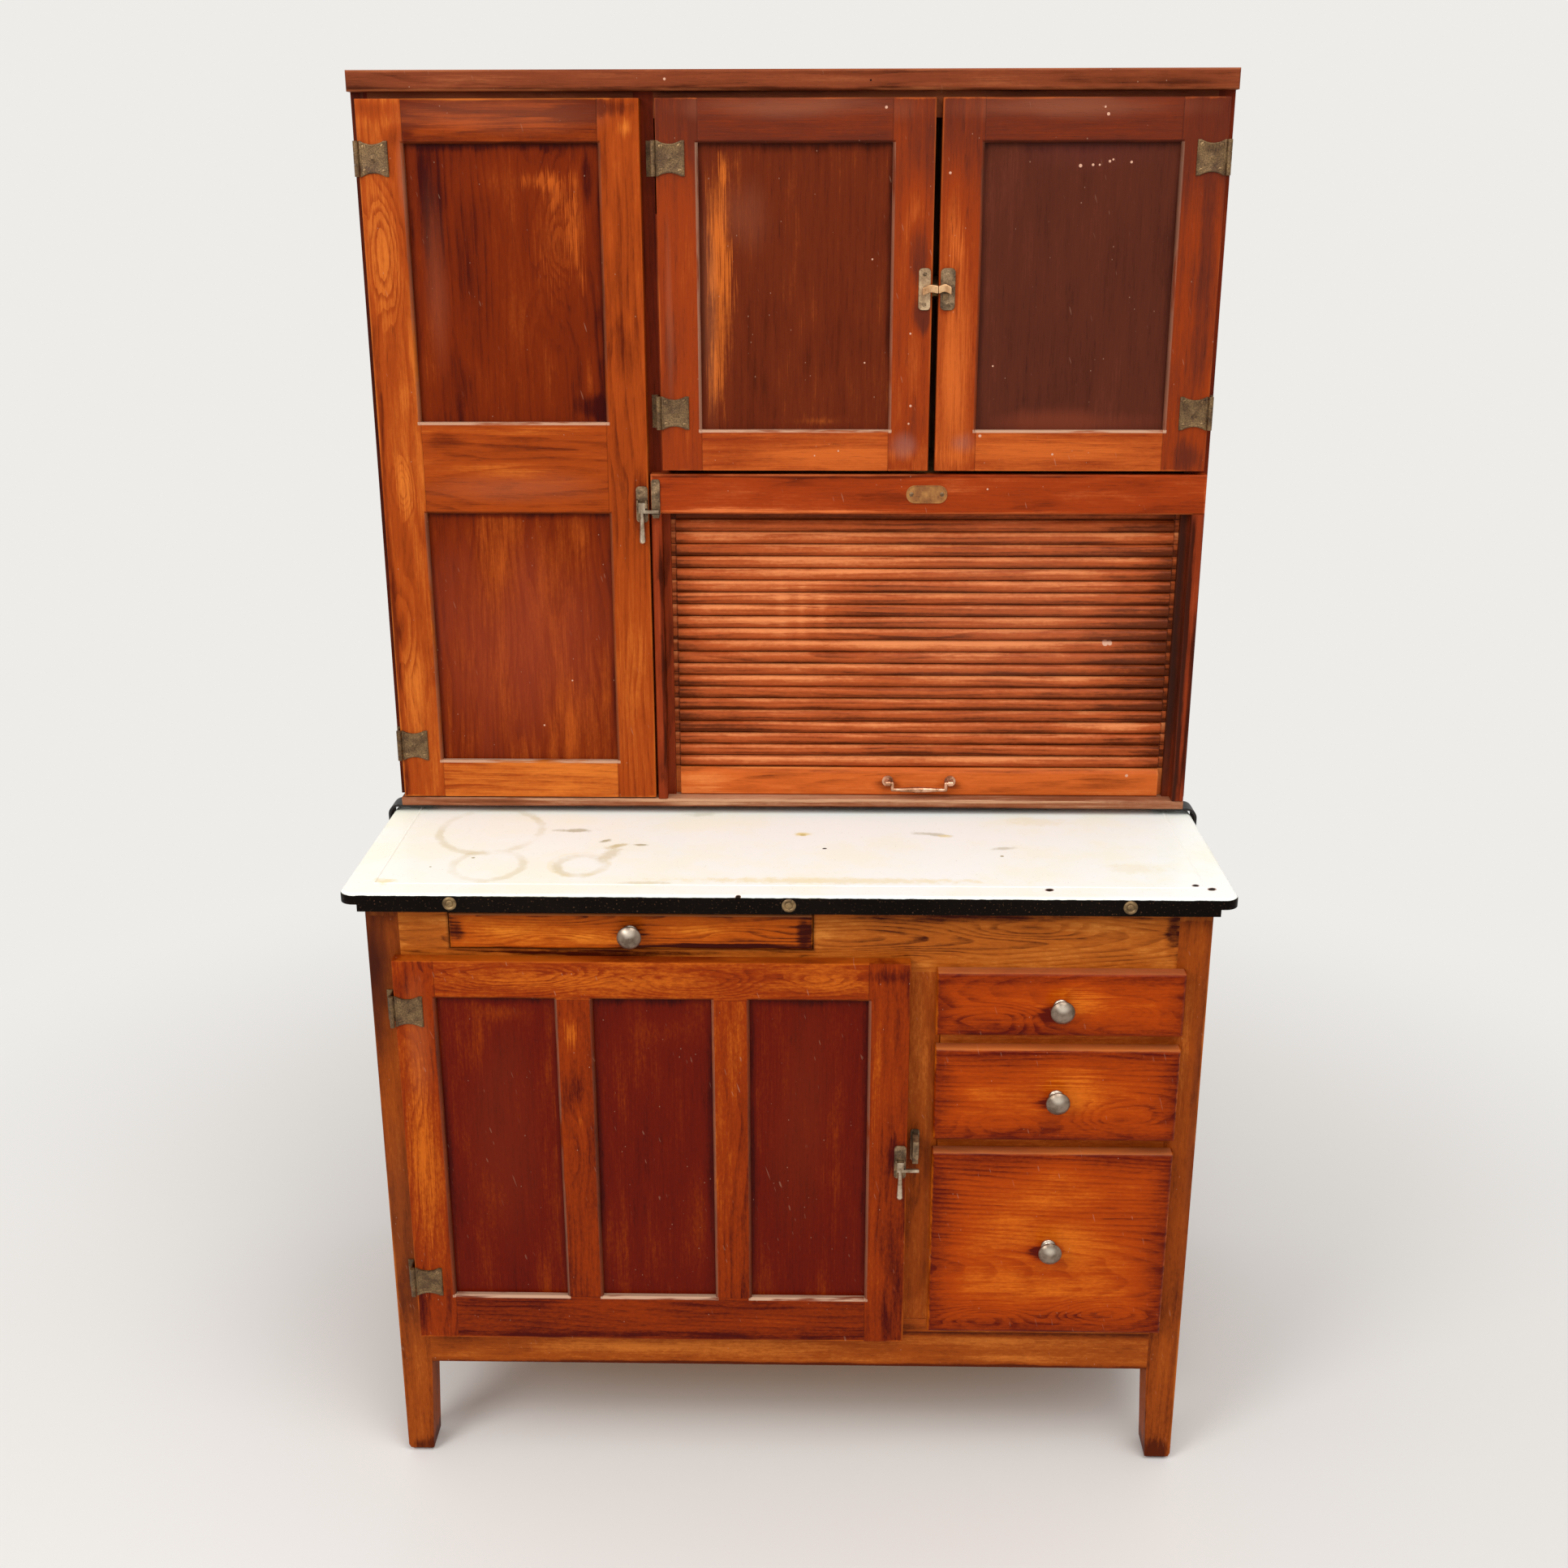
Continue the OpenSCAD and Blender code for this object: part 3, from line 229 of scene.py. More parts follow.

# %% How thick the varnish lies, and where shade is painted into it
def varnish(f, body, broad, ragged, fine, fades, rims, tones, stains_and_shade, worn):
    """Adds where the varnish is thicker or where shade is painted, or takes away where it is
    rubbed. fades darken along Z; rims darken towards the edges of a rectangle; tones are boards
    of one frame that are lighter or darker; the darkening ellipses hold stains and, at some
    places, painted shade, and the worn ones are rubbed."""
    for z0, z1, amount in fades:
        body = body + f.z.ease(z0 / 1000, z1 / 1000) * amount
    for x0, x1, z0, z1, reach, amount in rims:
        inward = f.inside(x0, x1, z0, z1) + (broad - 0.5) * reach / 1000
        near = f.inside(x0 - 2, x1 + 2, z0 - 2, z1 + 2).over(0)
        body = body + (1 - inward.ease(-reach / 3000, reach / 1000)) * near * amount
    for x0, x1, z0, z1, amount in tones:
        body = body + f.inside(x0, x1, z0, z1).over(0) * amount
    for x, z, wide, tall, amount in stains_and_shade:
        stain = f.patch(x, z, wide, tall) + (broad + ragged - 1) * 0.9
        body = body + stain.ease(0, 0.8) * amount
    for x, z, wide, tall, amount in worn:
        rub = f.patch(x, z, wide, tall) + (ragged - 0.5) * 1.5 + (fine - 0.5) * 2.6
        rub = rub + (broad - 0.5)
        body = body - rub.ease(-0.1, 1.1) * amount
    return body


print("varnish() is ready")

# %% Where grime and dust gather, and where shade and highlight are painted
def gather(f, colour, grime_and_shade, ragged, openings, dust_and_highlight, tones):
    """Dirt and painted shade round each opening, and a dark hairline on each joint between
    boards. Dust with a painted highlight lies on the sills below, left and right of it."""
    below, left_of, right_of = dust_and_highlight
    # Round each opening: a ring of dirt and painted shade, and on its sills dust with a painted
    # highlight.
    for x0, x1, z0, z1 in openings:
        away = -f.inside(x0, x1, z0, z1)
        grime_and_shade = grime_and_shade.high((1 - away.ease(0.0002, 0.005)) * (0.15 + ragged * 0.9))
        shown = 0.0
        for gap, amount in ((z0 / 1000 - f.z, below), (x0 / 1000 - f.x, left_of),
                            (f.x - x1 / 1000, right_of)):
            sill = gap.ease(0.0038, 0.0026) * (gap + 0.0004).over(0)
            shown = (sill * amount).high(shown)
        near = f.inside(x0 - 4, x1 + 4, z0 - 4, z1 + 1).over(0)
        shown = shown * near * ragged.ease(0.3, 0.5)
        colour = f.mix(shown, colour, DUST_AND_HIGHLIGHT)
        grime_and_shade = grime_and_shade * (1 - shown)
    for x0, x1, z0, z1, _ in tones:
        seam = 1 - abs(f.inside(x0, x1, z0, z1)).ease(0.0001, 0.0006)
        grime_and_shade = grime_and_shade.high(seam * 0.3)
    return f.mix(grime_and_shade.held(), colour, SOOT_AND_SHADE), grime_and_shade


print("gather() is ready")

# %% Marks of use
def marked(f, colour, pale, broad, ragged, outline, scratches, lit, dots):
    """Paler arrises, scratches and specks, edges that catch light from above, and chips."""
    if outline:
        rim = f.inside(*outline) + (ragged - 0.5) * 0.005
        rubbed = (1 - rim.ease(0.0002, 0.0028)) * broad.ease(0.4, 0.6) * 0.6
        colour = f.mix(rubbed, colour, pale)
    if scratches:
        slanted = f.vector(f.x * 420 + f.z * 120, f.y, f.z * 50 - f.x * 20)
        marks = f.noise(slanted, detail=0).ease(0.80, 0.84) * broad.ease(0.45, 0.6) * 0.5
        specks = 1 - f.cells(f.scaled(f.place, (110, 110, 80))).ease(0.04, 0.09)
        colour = f.mix(marks.high(specks * ragged.over(0.56)) * scratches, colour, DUST_AND_HIGHLIGHT)
    for x0, x1, z0, z1, amount in lit:
        band = f.inside(x0, x1, z0, z1).ease(0, 0.0008) * (0.5 + ragged)
        colour = f.mix((band * amount).held(), colour, LIT)
    for x, z, size, tint in dots:
        colour = f.mix(f.patch(x, z, size, size).ease(0.1, 0.4), colour, tint)
    return colour


print("marked() is ready")

# %% The varnished wood
def wood(name, pale, middle, dark, lying=0.0, seed=0.0, ring=150.0, heart=(0, 0), slant=0.06,
         swirl=4.0, knots=(), figure=0.3, thick=0.5, gloss=0.4, worn=(), stains_and_shade=(), tones=(),
         openings=(), dust_and_highlight=(0.85, 0.35, 0.12), outline=None, each=None, spread=0.0, pits=0.4,
         dots=(), scratches=0.0, rims=(), lit=(), fades=(), veils=(), blotch=1.2, scuff=0.3,
         shade=None, gap_grime_and_shade=None):
    """lying is 1 where the grain runs along X: a number, or a rule that gets the finish.
    Places and sizes are in mm, seen from the front. each numbers the boards of one piece,
    so that each has its own grain; veils are patches of bloom in the varnish, and the dark
    ones beside the curtain are painted shadow."""
    f = Finish(name)
    pale, middle, dark = (under_varnish(tone) for tone in (pale, middle, dark))
    turn = lying(f) if callable(lying) else float(lying)
    number = each(f) if each else 0.0
    across = f.blend(turn, f.vector(f.x, f.y, f.z), f.vector(f.z, f.y, f.x))
    split = f.add("SeparateXYZ", sockets={0: across})
    u, v = Flow(f, split.outputs[0]), Flow(f, split.outputs[2])
    depth = Flow(f, split.outputs[1]) + (number * 0.37 + seed)
    grain = f.vector(u, depth, v)
    sway = f.noise(f.scaled(grain, (9, 9, 1.6)), detail=2) - 0.5
    ripple = f.noise(f.scaled(grain, (55, 55, 9)), detail=2) - 0.5
    fine = f.noise(f.scaled(grain, (800, 800, 13)), detail=2, rough=0.6)
    pores = f.noise(f.scaled(grain, (1300, 1300, 50)), detail=1).ease(0.60, 0.70)
    broad = f.noise(f.scaled(grain, (15, 15, 4)), detail=4, rough=0.6)
    ragged = f.noise(f.scaled(grain, (90, 90, 11)), detail=3, rough=0.62)
    speck = f.noise(f.scaled(grain, (340, 340, 130)), detail=3, rough=0.7)
    su, sv = u - heart[0] / 1000, (v - heart[1] / 1000) * slant
    if each:
        jump = f.noise(f.vector(number * 0.73, seed, 0.0), scale=3, detail=0) - 0.5
        su = su + jump * spread
    rings = (su * su + sv * sv).root() * ring + sway * swirl + ripple * 0.8
    for x, z, wide, tall, count in knots:
        hill = (f.patch(x, z, wide, tall) + (broad - 0.5) * 0.8 + (ragged - 0.5) * 0.3).held()
        rings = rings + hill * hill * (3 - hill * 2) * count
    phase = rings.part()
    late = phase.ease(0.35, 0.88) * (1 - phase.ease(0.92, 1.0)) * (broad - 0.2).held() * 2
    late = late * (0.25 + ragged.ease(0.34, 0.62) * 0.75)
    body = (broad - 0.5) * blotch + (ragged - 0.5) * 0.6 + (fine - 0.5) * 0.5
    body = body + late * figure + thick
    body = body + (speck - 0.5) * scuff
    if shade:
        body = body + shade(f)
    body = varnish(f, body, broad, ragged, fine, fades, rims, tones, stains_and_shade, worn)
    colour = f.mix(body.ease(-0.15, 0.5), pale, middle)
    colour = f.mix(body.ease(0.4, 1.3), colour, dark)
    colour = f.mix(late * figure * 0.5, colour, dark)
    colour = f.mix(pores * (0.3 + late) * pits, colour, SOOT_AND_SHADE)
    for x, z, wide, tall, amount, tint in veils:
        bloom = (f.patch(x, z, wide, tall) + (broad - 0.5) * 1.4).ease(0, 0.9) * amount
        colour = f.mix(bloom, colour, tint)
    grime_and_shade = gap_grime_and_shade(f) if gap_grime_and_shade else pores * 0.0
    colour, grime_and_shade = gather(f, colour, grime_and_shade, ragged, openings, dust_and_highlight, tones)
    colour = marked(f, colour, pale, broad, ragged, outline, scratches, lit, dots)
    rough = gloss + (fine - 0.5) * 0.2 + pores * 0.2 + grime_and_shade * 0.3 - body.ease(0.2, 1.2) * 0.06
    relief = fine * 0.4 - pores * 0.8 + late * 0.25 + ragged * 0.5
    return f.finish(colour, rough, relief, depth=0.0004, strength=0.4,
                    Specular_IOR_Level=0.06, Coat_Weight=0.02, Coat_Roughness=0.15)


def dress(node, material):
    """Gives one of the loaded pieces its finish."""
    mesh = boards[node].data
    mesh.materials.clear()
    mesh.materials.append(material)


print("wood() is ready")

# %% [markdown]
# Doors are framed: the stiles stand with upright grain, and the rails lie between them.
# One node holds the whole frame, so the grain turns by place. `between` gives 1 where the
# grain lies. Each board of a frame also came from its own plank, so each has its own tone
# of varnish, and a hairline of dirt marks each joint.

# %% Sizes that the finishes need
TALL = (-522.5, -181.5, 852, 1733)
MIDDLE = (-163, 173.75, 1291, 1733)
RIGHT = (181.75, 522.5, 1291, 1733)
LOWER = (-484, 151, 197, 737.5)
TALL_OPEN = [(-467.5, -232.5, 903, 1235), (-467.5, -232.5, 1351, 1682)]
MIDDLE_OPEN = [(-112, 122.75, 1342, 1682)]
RIGHT_OPEN = [(232.75, 467.5, 1342, 1682)]
LOWER_OPEN = [(x, x + 146.3, 261, 686.5) for x in (-433, -239.7, -46.3)]


def between(x0, x1, mullions=None):
    """Rails between stiles; mullions, if any, stand between z0 and z1."""
    def rule(f):
        inner = f.inside(x0, x1, -1, 3000).over(0)
        if mullions:
            inner = inner * (1 - f.inside(-3000, 3000, *mullions).over(0))
        return inner
    return rule


def framed(door, openings, left, right_side, top, bottom):
    """Tones of the four outer boards of a door."""
    x0, x1, z0, z1 = door
    a, b = openings[0][0], openings[-1][1]
    low, high = openings[0][2], openings[-1][3]
    return [(x0, a, z0, z1, left), (b, x1, z0, z1, right_side), (a, b, high, z1, top),
            (a, b, z0, low, bottom)]


print("panel openings", TALL_OPEN + MIDDLE_OPEN + RIGHT_OPEN + LOWER_OPEN)

# %% Frame of the tall door
PALE_CHIP, HAZE, ASH = hue(208, 160, 134), hue(168, 100, 72), hue(150, 104, 92)
dress("tall_door_frame", wood("varnished frame, tall door", hue(212, 116, 46), hue(160, 68, 26),
    hue(92, 34, 18), lying=between(-467.5, -232.5), heart=(-470, 2600), slant=0.03, ring=90,
    swirl=12, figure=0.36, thick=0.46, openings=TALL_OPEN, outline=TALL, scratches=0.35,
    dust_and_highlight=(0.85, 0.18, 0.1),
    knots=[(-497, 1556, 26, 100, 4), (-496, 1268, 20, 54, 4), (-506, 1080, 18, 90, 2)],
    tones=framed(TALL, TALL_OPEN, -0.06, 0.12, 0.5, -0.3) + [(-467.5, -232.5, 1235, 1351, 0.1)],
    worn=[(-500, 1560, 28, 130, 0.45), (-497, 1268, 20, 60, 0.5), (-500, 1010, 26, 120, 0.4),
          (-390, 1706, 80, 16, 0.5), (-300, 1702, 50, 10, 0.4), (-199, 1700, 12, 14, 0.5),
          (-205, 1000, 40, 220, 0.4), (-360, 1292, 90, 14, 0.4), (-330, 1340, 100, 8, 0.4)],
    stains_and_shade=[(-506, 1240, 16, 90, 0.3), (-210, 1560, 34, 160, 0.16), (-240, 1722, 70, 14, 0.5),
             (-500, 1722, 40, 22, 0.5), (-470, 1690, 30, 20, 0.3), (-440, 1330, 44, 16, 0.5),
             (-519, 1180, 7, 400, 0.6), (-205, 1440, 24, 60, 0.25), (-190, 1250, 14, 60, 0.5)],
    veils=[(-350, 1716, 190, 30, 0.2, HAZE), (-350, 1270, 140, 26, 0.22, HAZE),
           (-470, 1650, 8, 60, 0.3, HAZE)]))
print("frame of the tall door varnished")

# %% Frames of the upper pair
UPPER = dict(pale=hue(196, 96, 42), middle=hue(146, 58, 26), dark=hue(98, 44, 31), ring=80,
             swirl=5, figure=0.14, thick=0.42, gloss=0.36, scratches=0.4, blotch=1.0)
dress("middle_door_frame", wood("varnished frame, middle door", seed=3.1, heart=(40, 900),
    lying=between(-112, 122.75), openings=MIDDLE_OPEN, outline=MIDDLE, dust_and_highlight=(0.9, 0.5, 0.3),
    tones=framed(MIDDLE, MIDDLE_OPEN, 0.18, 0.0, 0.22, -0.2), fades=[(1560, 1715, 0.55)],
    worn=[(60, 1312, 120, 14, 0.5), (130, 1690, 20, 40, 0.3), (150, 1600, 18, 60, 0.45),
          (152, 1430, 14, 60, 0.35)],
    stains_and_shade=[(156, 1560, 16, 46, 0.6), (162, 1482, 16, 26, 0.8), (-150, 1400, 14, 120, 0.3),
             (158, 1340, 12, 40, 0.3)],
    veils=[(0, 1722, 190, 22, 0.35, HAZE), (146, 1322, 26, 22, 0.4, ASH),
           (-150, 1480, 6, 200, 0.2, HAZE)],
    dots=[(114, 1722, 2.2, PALE_CHIP), (150, 1372, 2.0, PALE_CHIP), (148, 1350, 1.6, PALE_CHIP),
          (148, 1460, 1.6, PALE_CHIP), (60, 1316, 1.4, PALE_CHIP), (30, 1310, 1.2, PALE_CHIP)],
    **UPPER))
dress("right_door_frame", wood("varnished frame, right door", seed=5.7, heart=(260, 2300),
    lying=between(232.75, 467.5), openings=RIGHT_OPEN, outline=RIGHT, dust_and_highlight=(0.9, 0.1, 0.3),
    tones=framed(RIGHT, RIGHT_OPEN, -0.05, 0.25, 0.22, -0.25), fades=[(1540, 1715, 0.6)],
    worn=[(204, 1430, 24, 150, 0.5), (196, 1600, 14, 80, 0.45), (320, 1316, 130, 16, 0.5),
          (206, 1310, 26, 18, 0.3)],
    stains_and_shade=[(190, 1513, 12, 40, 0.6), (505, 1500, 14, 220, 0.3), (500, 1310, 24, 30, 0.6)],
    veils=[(350, 1722, 190, 22, 0.35, HAZE), (214, 1326, 22, 20, 0.35, ASH)],
    dots=[(238, 1335, 2.4, PALE_CHIP), (192, 1648, 2.0, PALE_CHIP), (378, 1714, 2.4, PALE_CHIP),
          (374, 1722, 1.6, PALE_CHIP), (330, 1312, 1.8, PALE_CHIP)], **UPPER))
print("frames of the upper pair varnished")

# %% Frame of the lower door
mullions = [(x, x + 47, 261, 686.5, tone) for x, tone in ((-286.7, 0.22), (-93.3, 0.0))]
dress("lower_door_frame", wood("varnished frame, lower door", hue(200, 100, 30),
    hue(146, 54, 12), hue(76, 23, 7), lying=between(-433, 100, (261, 686.5)), seed=8.2,
    heart=(20, -900), slant=0.05, ring=100, swirl=12, figure=0.36, thick=0.48, scratches=0.5,
    scuff=0.8,
    knots=[(-462, 590, 24, 90, 2), (-265, 470, 20, 90, 2), (-330, 716, 130, 24, 5),
           (-120, 708, 110, 26, 5), (40, 714, 60, 22, 3)],
    openings=LOWER_OPEN, outline=LOWER, dust_and_highlight=(1.0, 0.1, 0.25),
    tones=framed(LOWER, LOWER_OPEN, -0.02, 0.22, -0.2, 0.2) + mullions, fades=[(300, 240, 0.12)],
    worn=[(-462, 470, 24, 180, 0.5), (-300, 712, 160, 18, 0.4), (60, 712, 70, 18, 0.3),
          (-268, 640, 14, 34, 0.7), (-262, 530, 14, 40, 0.4), (-66, 600, 18, 90, 0.35),
          (112, 600, 14, 130, 0.4), (-30, 226, 90, 14, 0.4), (108, 400, 10, 120, 0.3)],
    stains_and_shade=[(-170, 203, 330, 10, 0.4), (134, 330, 18, 150, 0.2), (140, 470, 16, 44, 0.6),
             (-478, 240, 14, 60, 0.4), (-270, 560, 20, 60, 0.4), (-476, 700, 14, 40, 0.4),
             (120, 720, 40, 14, 0.4)],
    veils=[(-460, 620, 22, 120, 0.25, hue(196, 108, 60))]))
print("frame of the lower door varnished")

# %% [markdown]
# A sharp edge looks drawn, not made. Real edges are eased with sandpaper, and catch a thin
# line of light. Weld joins the loaded triangles and Bevel rounds only the real corners;
# as modifiers they change nothing in the loaded piece itself.

# %% Eased edges
EASED, SHARPEST = 1.5, 40


def ease_edges(node):
    """Rounds the edges of a piece that turn by more than SHARPEST degrees, by EASED mm."""
    weld = boards[node].modifiers.new("weld", "WELD")
    weld.merge_threshold = 0.00001
    bevel = boards[node].modifiers.new("eased", "BEVEL")
    bevel.width, bevel.segments, bevel.limit_method = EASED / 1000, 2, "ANGLE"
    bevel.angle_limit = math.radians(SHARPEST)


for node in ("tall_door_frame", "middle_door_frame", "right_door_frame", "lower_door_frame"):
    ease_edges(node)
print("edges of the frames eased by", EASED, "mm")

# %% [markdown]
# The panels are thin sheets of darker wood, set back in the frames. Shade is painted
# along their edges, most of all at the top, where the frame shades them.

# %% Panels
def painted_panel_shade(openings, width=12, amount=0.5):
    """Painted shade along the top and the sides of each panel, where the frame shades it."""
    stains = []
    for x0, x1, z0, z1 in openings:
        stains += [((x0 + x1) / 2, z1, (x1 - x0) * 0.8, width, amount),
                   (x0, (z0 + z1) / 2, width * 0.7, (z1 - z0) * 0.7, amount * 0.7),
                   (x1, (z0 + z1) / 2, width * 0.8, (z1 - z0) * 0.7, amount * 0.8)]
    return stains


PANEL = dict(ring=110, gloss=0.33, scratches=0.4)
dress("tall_door_panels", wood("dark panels, tall door", hue(180, 84, 32), hue(116, 42, 18),
    hue(60, 21, 12), heart=(-300, 2900), slant=0.02, seed=1.3, swirl=14, thick=0.58, figure=0.26,
    knots=[(-300, 1600, 66, 190, 5), (-285, 1560, 30, 60, 2)], blotch=1.1,
    fades=[(1300, 1200, -0.18)],
    worn=[(-300, 1640, 50, 14, 0.5), (-284, 1622, 20, 24, 0.4), (-290, 1570, 40, 80, 0.35),
          (-262, 1590, 14, 110, 0.4), (-252, 1400, 10, 60, 0.4), (-375, 1640, 50, 30, 0.2),
          (-330, 1480, 50, 90, 0.2), (-302, 1400, 16, 60, 0.35), (-340, 1140, 40, 110, 0.15)],
    stains_and_shade=painted_panel_shade(TALL_OPEN, 11, 0.45) + [(-440, 1590, 24, 120, 0.2), (-250, 1370, 24, 20, 0.6),
             (-247, 1640, 12, 40, 0.5), (-420, 1390, 40, 60, 0.2)],
    veils=[(-440, 1500, 20, 140, 0.15, HAZE), (-350, 1060, 170, 200, 0.45, hue(152, 62, 38))],
    dots=[(-330, 950, 1.6, PALE_CHIP), (-290, 1012, 1.4, PALE_CHIP)], **PANEL))
dress("middle_door_panel", wood("dark panel, middle door", hue(196, 100, 40), hue(104, 43, 25),
    hue(62, 26, 19), heart=(10, 3000), slant=0.02, seed=2.9, swirl=5, thick=0.56, figure=0.12,
    worn=[(-88, 1580, 22, 100, 0.55), (-88, 1480, 24, 140, 0.45), (-96, 1400, 14, 60, 0.3),
          (-80, 1650, 8, 30, 0.4), (40, 1352, 70, 8, 0.25)], blotch=0.8,
    stains_and_shade=painted_panel_shade(MIDDLE_OPEN, 14, 0.45) + [(60, 1440, 60, 60, 0.15)],
    veils=[(-100, 1480, 14, 200, 0.2, hue(150, 100, 70)), (-60, 1600, 50, 60, 0.15, HAZE)],
    dots=[(100, 1548, 1.4, PALE_CHIP), (92, 1424, 1.4, PALE_CHIP)], **PANEL))
dress("right_door_panel", wood("dark panel, right door", hue(120, 62, 44), hue(88, 44, 33),
    hue(60, 31, 25), heart=(350, 3000), slant=0.02, seed=6.1, swirl=5, thick=0.55, figure=0.06,
    stains_and_shade=painted_panel_shade(RIGHT_OPEN, 14, 0.4), blotch=0.8,
    veils=[(350, 1350, 150, 22, 0.5, hue(128, 58, 36)),
           (352, 1676, 130, 30, 0.25, hue(104, 48, 42))],
    dots=[(349, 1656, 2.6, PALE_CHIP), (364, 1657, 2.0, PALE_CHIP), (372, 1657, 1.6, PALE_CHIP),
          (384, 1661, 2.0, PALE_CHIP), (388, 1663, 1.6, PALE_CHIP), (410, 1660, 2.0, PALE_CHIP),
          (252, 1420, 1.4, PALE_CHIP)], **PANEL))
dress("lower_door_panels", wood("dark panels, lower door", hue(156, 64, 14), hue(104, 29, 3),
    hue(56, 14, 2), heart=(-150, 2600), slant=0.02, seed=9.4, swirl=5, thick=0.5, figure=0.05,
    worn=[(-355, 664, 44, 20, 0.3), (-375, 400, 30, 90, 0.2), (-110, 400, 20, 120, 0.25),
          (-150, 640, 60, 30, 0.2)], blotch=1.1, scuff=0.6,
    stains_and_shade=painted_panel_shade(LOWER_OPEN, 14, 0.45),
    veils=[(-360, 500, 70, 200, 0.2, hue(130, 50, 20)), (20, 520, 60, 200, 0.2, hue(130, 50, 16))],
    **PANEL))
print("seven panels varnished")

# %% [markdown]
# The base is the part that gets kicked, leaned on and mopped, so its varnish is thin
# and its wood is a lighter, drier tan than the hutch above.

# %% Boards of the base
BASE = dict(pale=hue(204, 114, 46), middle=hue(158, 74, 26), dark=hue(88, 36, 15), gloss=0.5,
            ring=90, swirl=6, figure=0.22, scratches=0.4, pits=0.4, scuff=0.8)
# The legs darken towards their tops, a painted shadow under the worktop's overhang.
dress("leg_pair_front", wood("legs", heart=(0, 3000), seed=4.2, thick=0.62,
    stains_and_shade=[(-495, 8, 30, 22, 0.7), (495, 8, 30, 30, 0.7), (-500, 250, 16, 60, 0.2)],
    veils=[(-500, 380, 46, 260, 0.5, hue(116, 56, 26)), (-514, 715, 70, 210, 1.0, hue(66, 24, 11)),
           (512, 500, 10, 420, 0.5, hue(104, 46, 22))],
    worn=[(-494, 150, 14, 70, 0.4), (498, 150, 12, 70, 0.4), (492, 620, 16, 150, 0.4)],
    fades=[(775, 803, 0.5)], rims=[(-518, -450, -20, 805, 7, 0.45), (450, 518, -20, 805, 7, 0.45)],
    outline=(-516, 516, -5, 790), **BASE))
dress("leg_pair_rear", wood("rear legs", heart=(0, 3000), seed=5.2, thick=0.6, **BASE))
dress("base_bottom_rail", wood("bottom rail", lying=1, heart=(150, -3000), seed=6.3, thick=0.42,
    worn=[(-200, 170, 200, 14, 0.5), (250, 186, 170, 14, 0.5), (300, 158, 120, 10, 0.4)],
    stains_and_shade=[(-180, 216, 330, 7, 0.9), (0, 145, 520, 6, 0.9), (-440, 180, 40, 24, 0.3),
             (160, 206, 60, 8, 0.5)], rims=[(-520, 520, 144, 197, 9, 0.8)], **BASE))
dress("base_face_stile", wood("face stile", lying=lambda f: (f.x - 0.1901).over(0), seed=7.7,
    heart=(165, 3000), thick=0.36, stains_and_shade=[(158, 470, 20, 50, 0.35)],
    veils=[(178, 400, 5, 300, 0.3, hue(96, 40, 18))], worn=[(168, 620, 14, 90, 0.3)], **BASE))
# The rail darkens towards its top edge, a painted shadow under the worktop's apron; the dark ring
# round the bread board's opening is painted shadow too.
dress("base_top_rail", wood("top rail", hue(222, 138, 60), hue(182, 96, 34), hue(66, 26, 9),
    lying=1, heart=(765, 60), slant=0.07, seed=2.2, ring=170, swirl=14, figure=0.5, thick=0.32,
    scuff=0.6,
    gloss=0.42, knots=[(300, 776, 110, 18, 3), (120, 738, 140, 16, 3)],
    pits=0.5, openings=[(-414, 31, 747.7, 793.7)], dust_and_highlight=(0, 0, 0), fades=[(786, 804, 0.9)],
    stains_and_shade=[(-448, 760, 36, 60, 0.3), (-180, 741, 260, 6, 0.6), (470, 770, 14, 40, 0.7),
             (0, 722, 500, 6, 0.6), (-330, 730, 140, 12, 0.5),
             (230, 790, 240, 10, 0.5), (478, 730, 8, 60, 0.5)], blotch=1.6))
# The board darkens towards its edges and along its lower edge, painted shade round its lip; the
# dark patch just below its knob is the knob's painted shadow.
dress("breadboard", wood("bread board", hue(232, 132, 42), hue(188, 86, 24), hue(64, 24, 8),
    lying=1, heart=(790, -300), slant=0.05, seed=1.9, ring=200, swirl=16, figure=0.8, thick=0.5,
    scuff=0.6,
    lit=[(-413, 30, 791, 795, 0.6)], rims=[(-414, 31, 746, 795, 7, 0.6)],
    knots=[(-290, 764, 110, 20, 3), (-70, 770, 80, 14, 2)], blotch=1.7,
    shade=lambda f: f.y.ease(-0.262, -0.235) * -0.7,
    worn=[(-345, 770, 50, 10, 0.4), (-250, 764, 40, 9, 0.4), (-110, 772, 50, 9, 0.3)],
    outline=(-414, 31, 747.7, 793.7), stains_and_shade=[(-191, 768, 30, 22, 0.6), (-404, 770, 14, 30, 0.6),
             (-100, 752, 300, 5, 0.8), (20, 770, 12, 30, 0.6)]))
print("legs, rails and bread board varnished")

# %% [markdown]
# Each drawer front is one plain-sawn board with its own arches of grain. `rims` darkens
# it towards its edges, which leaves a painted sheen on the pale middle, and the upper edge
# carries a painted line of light.

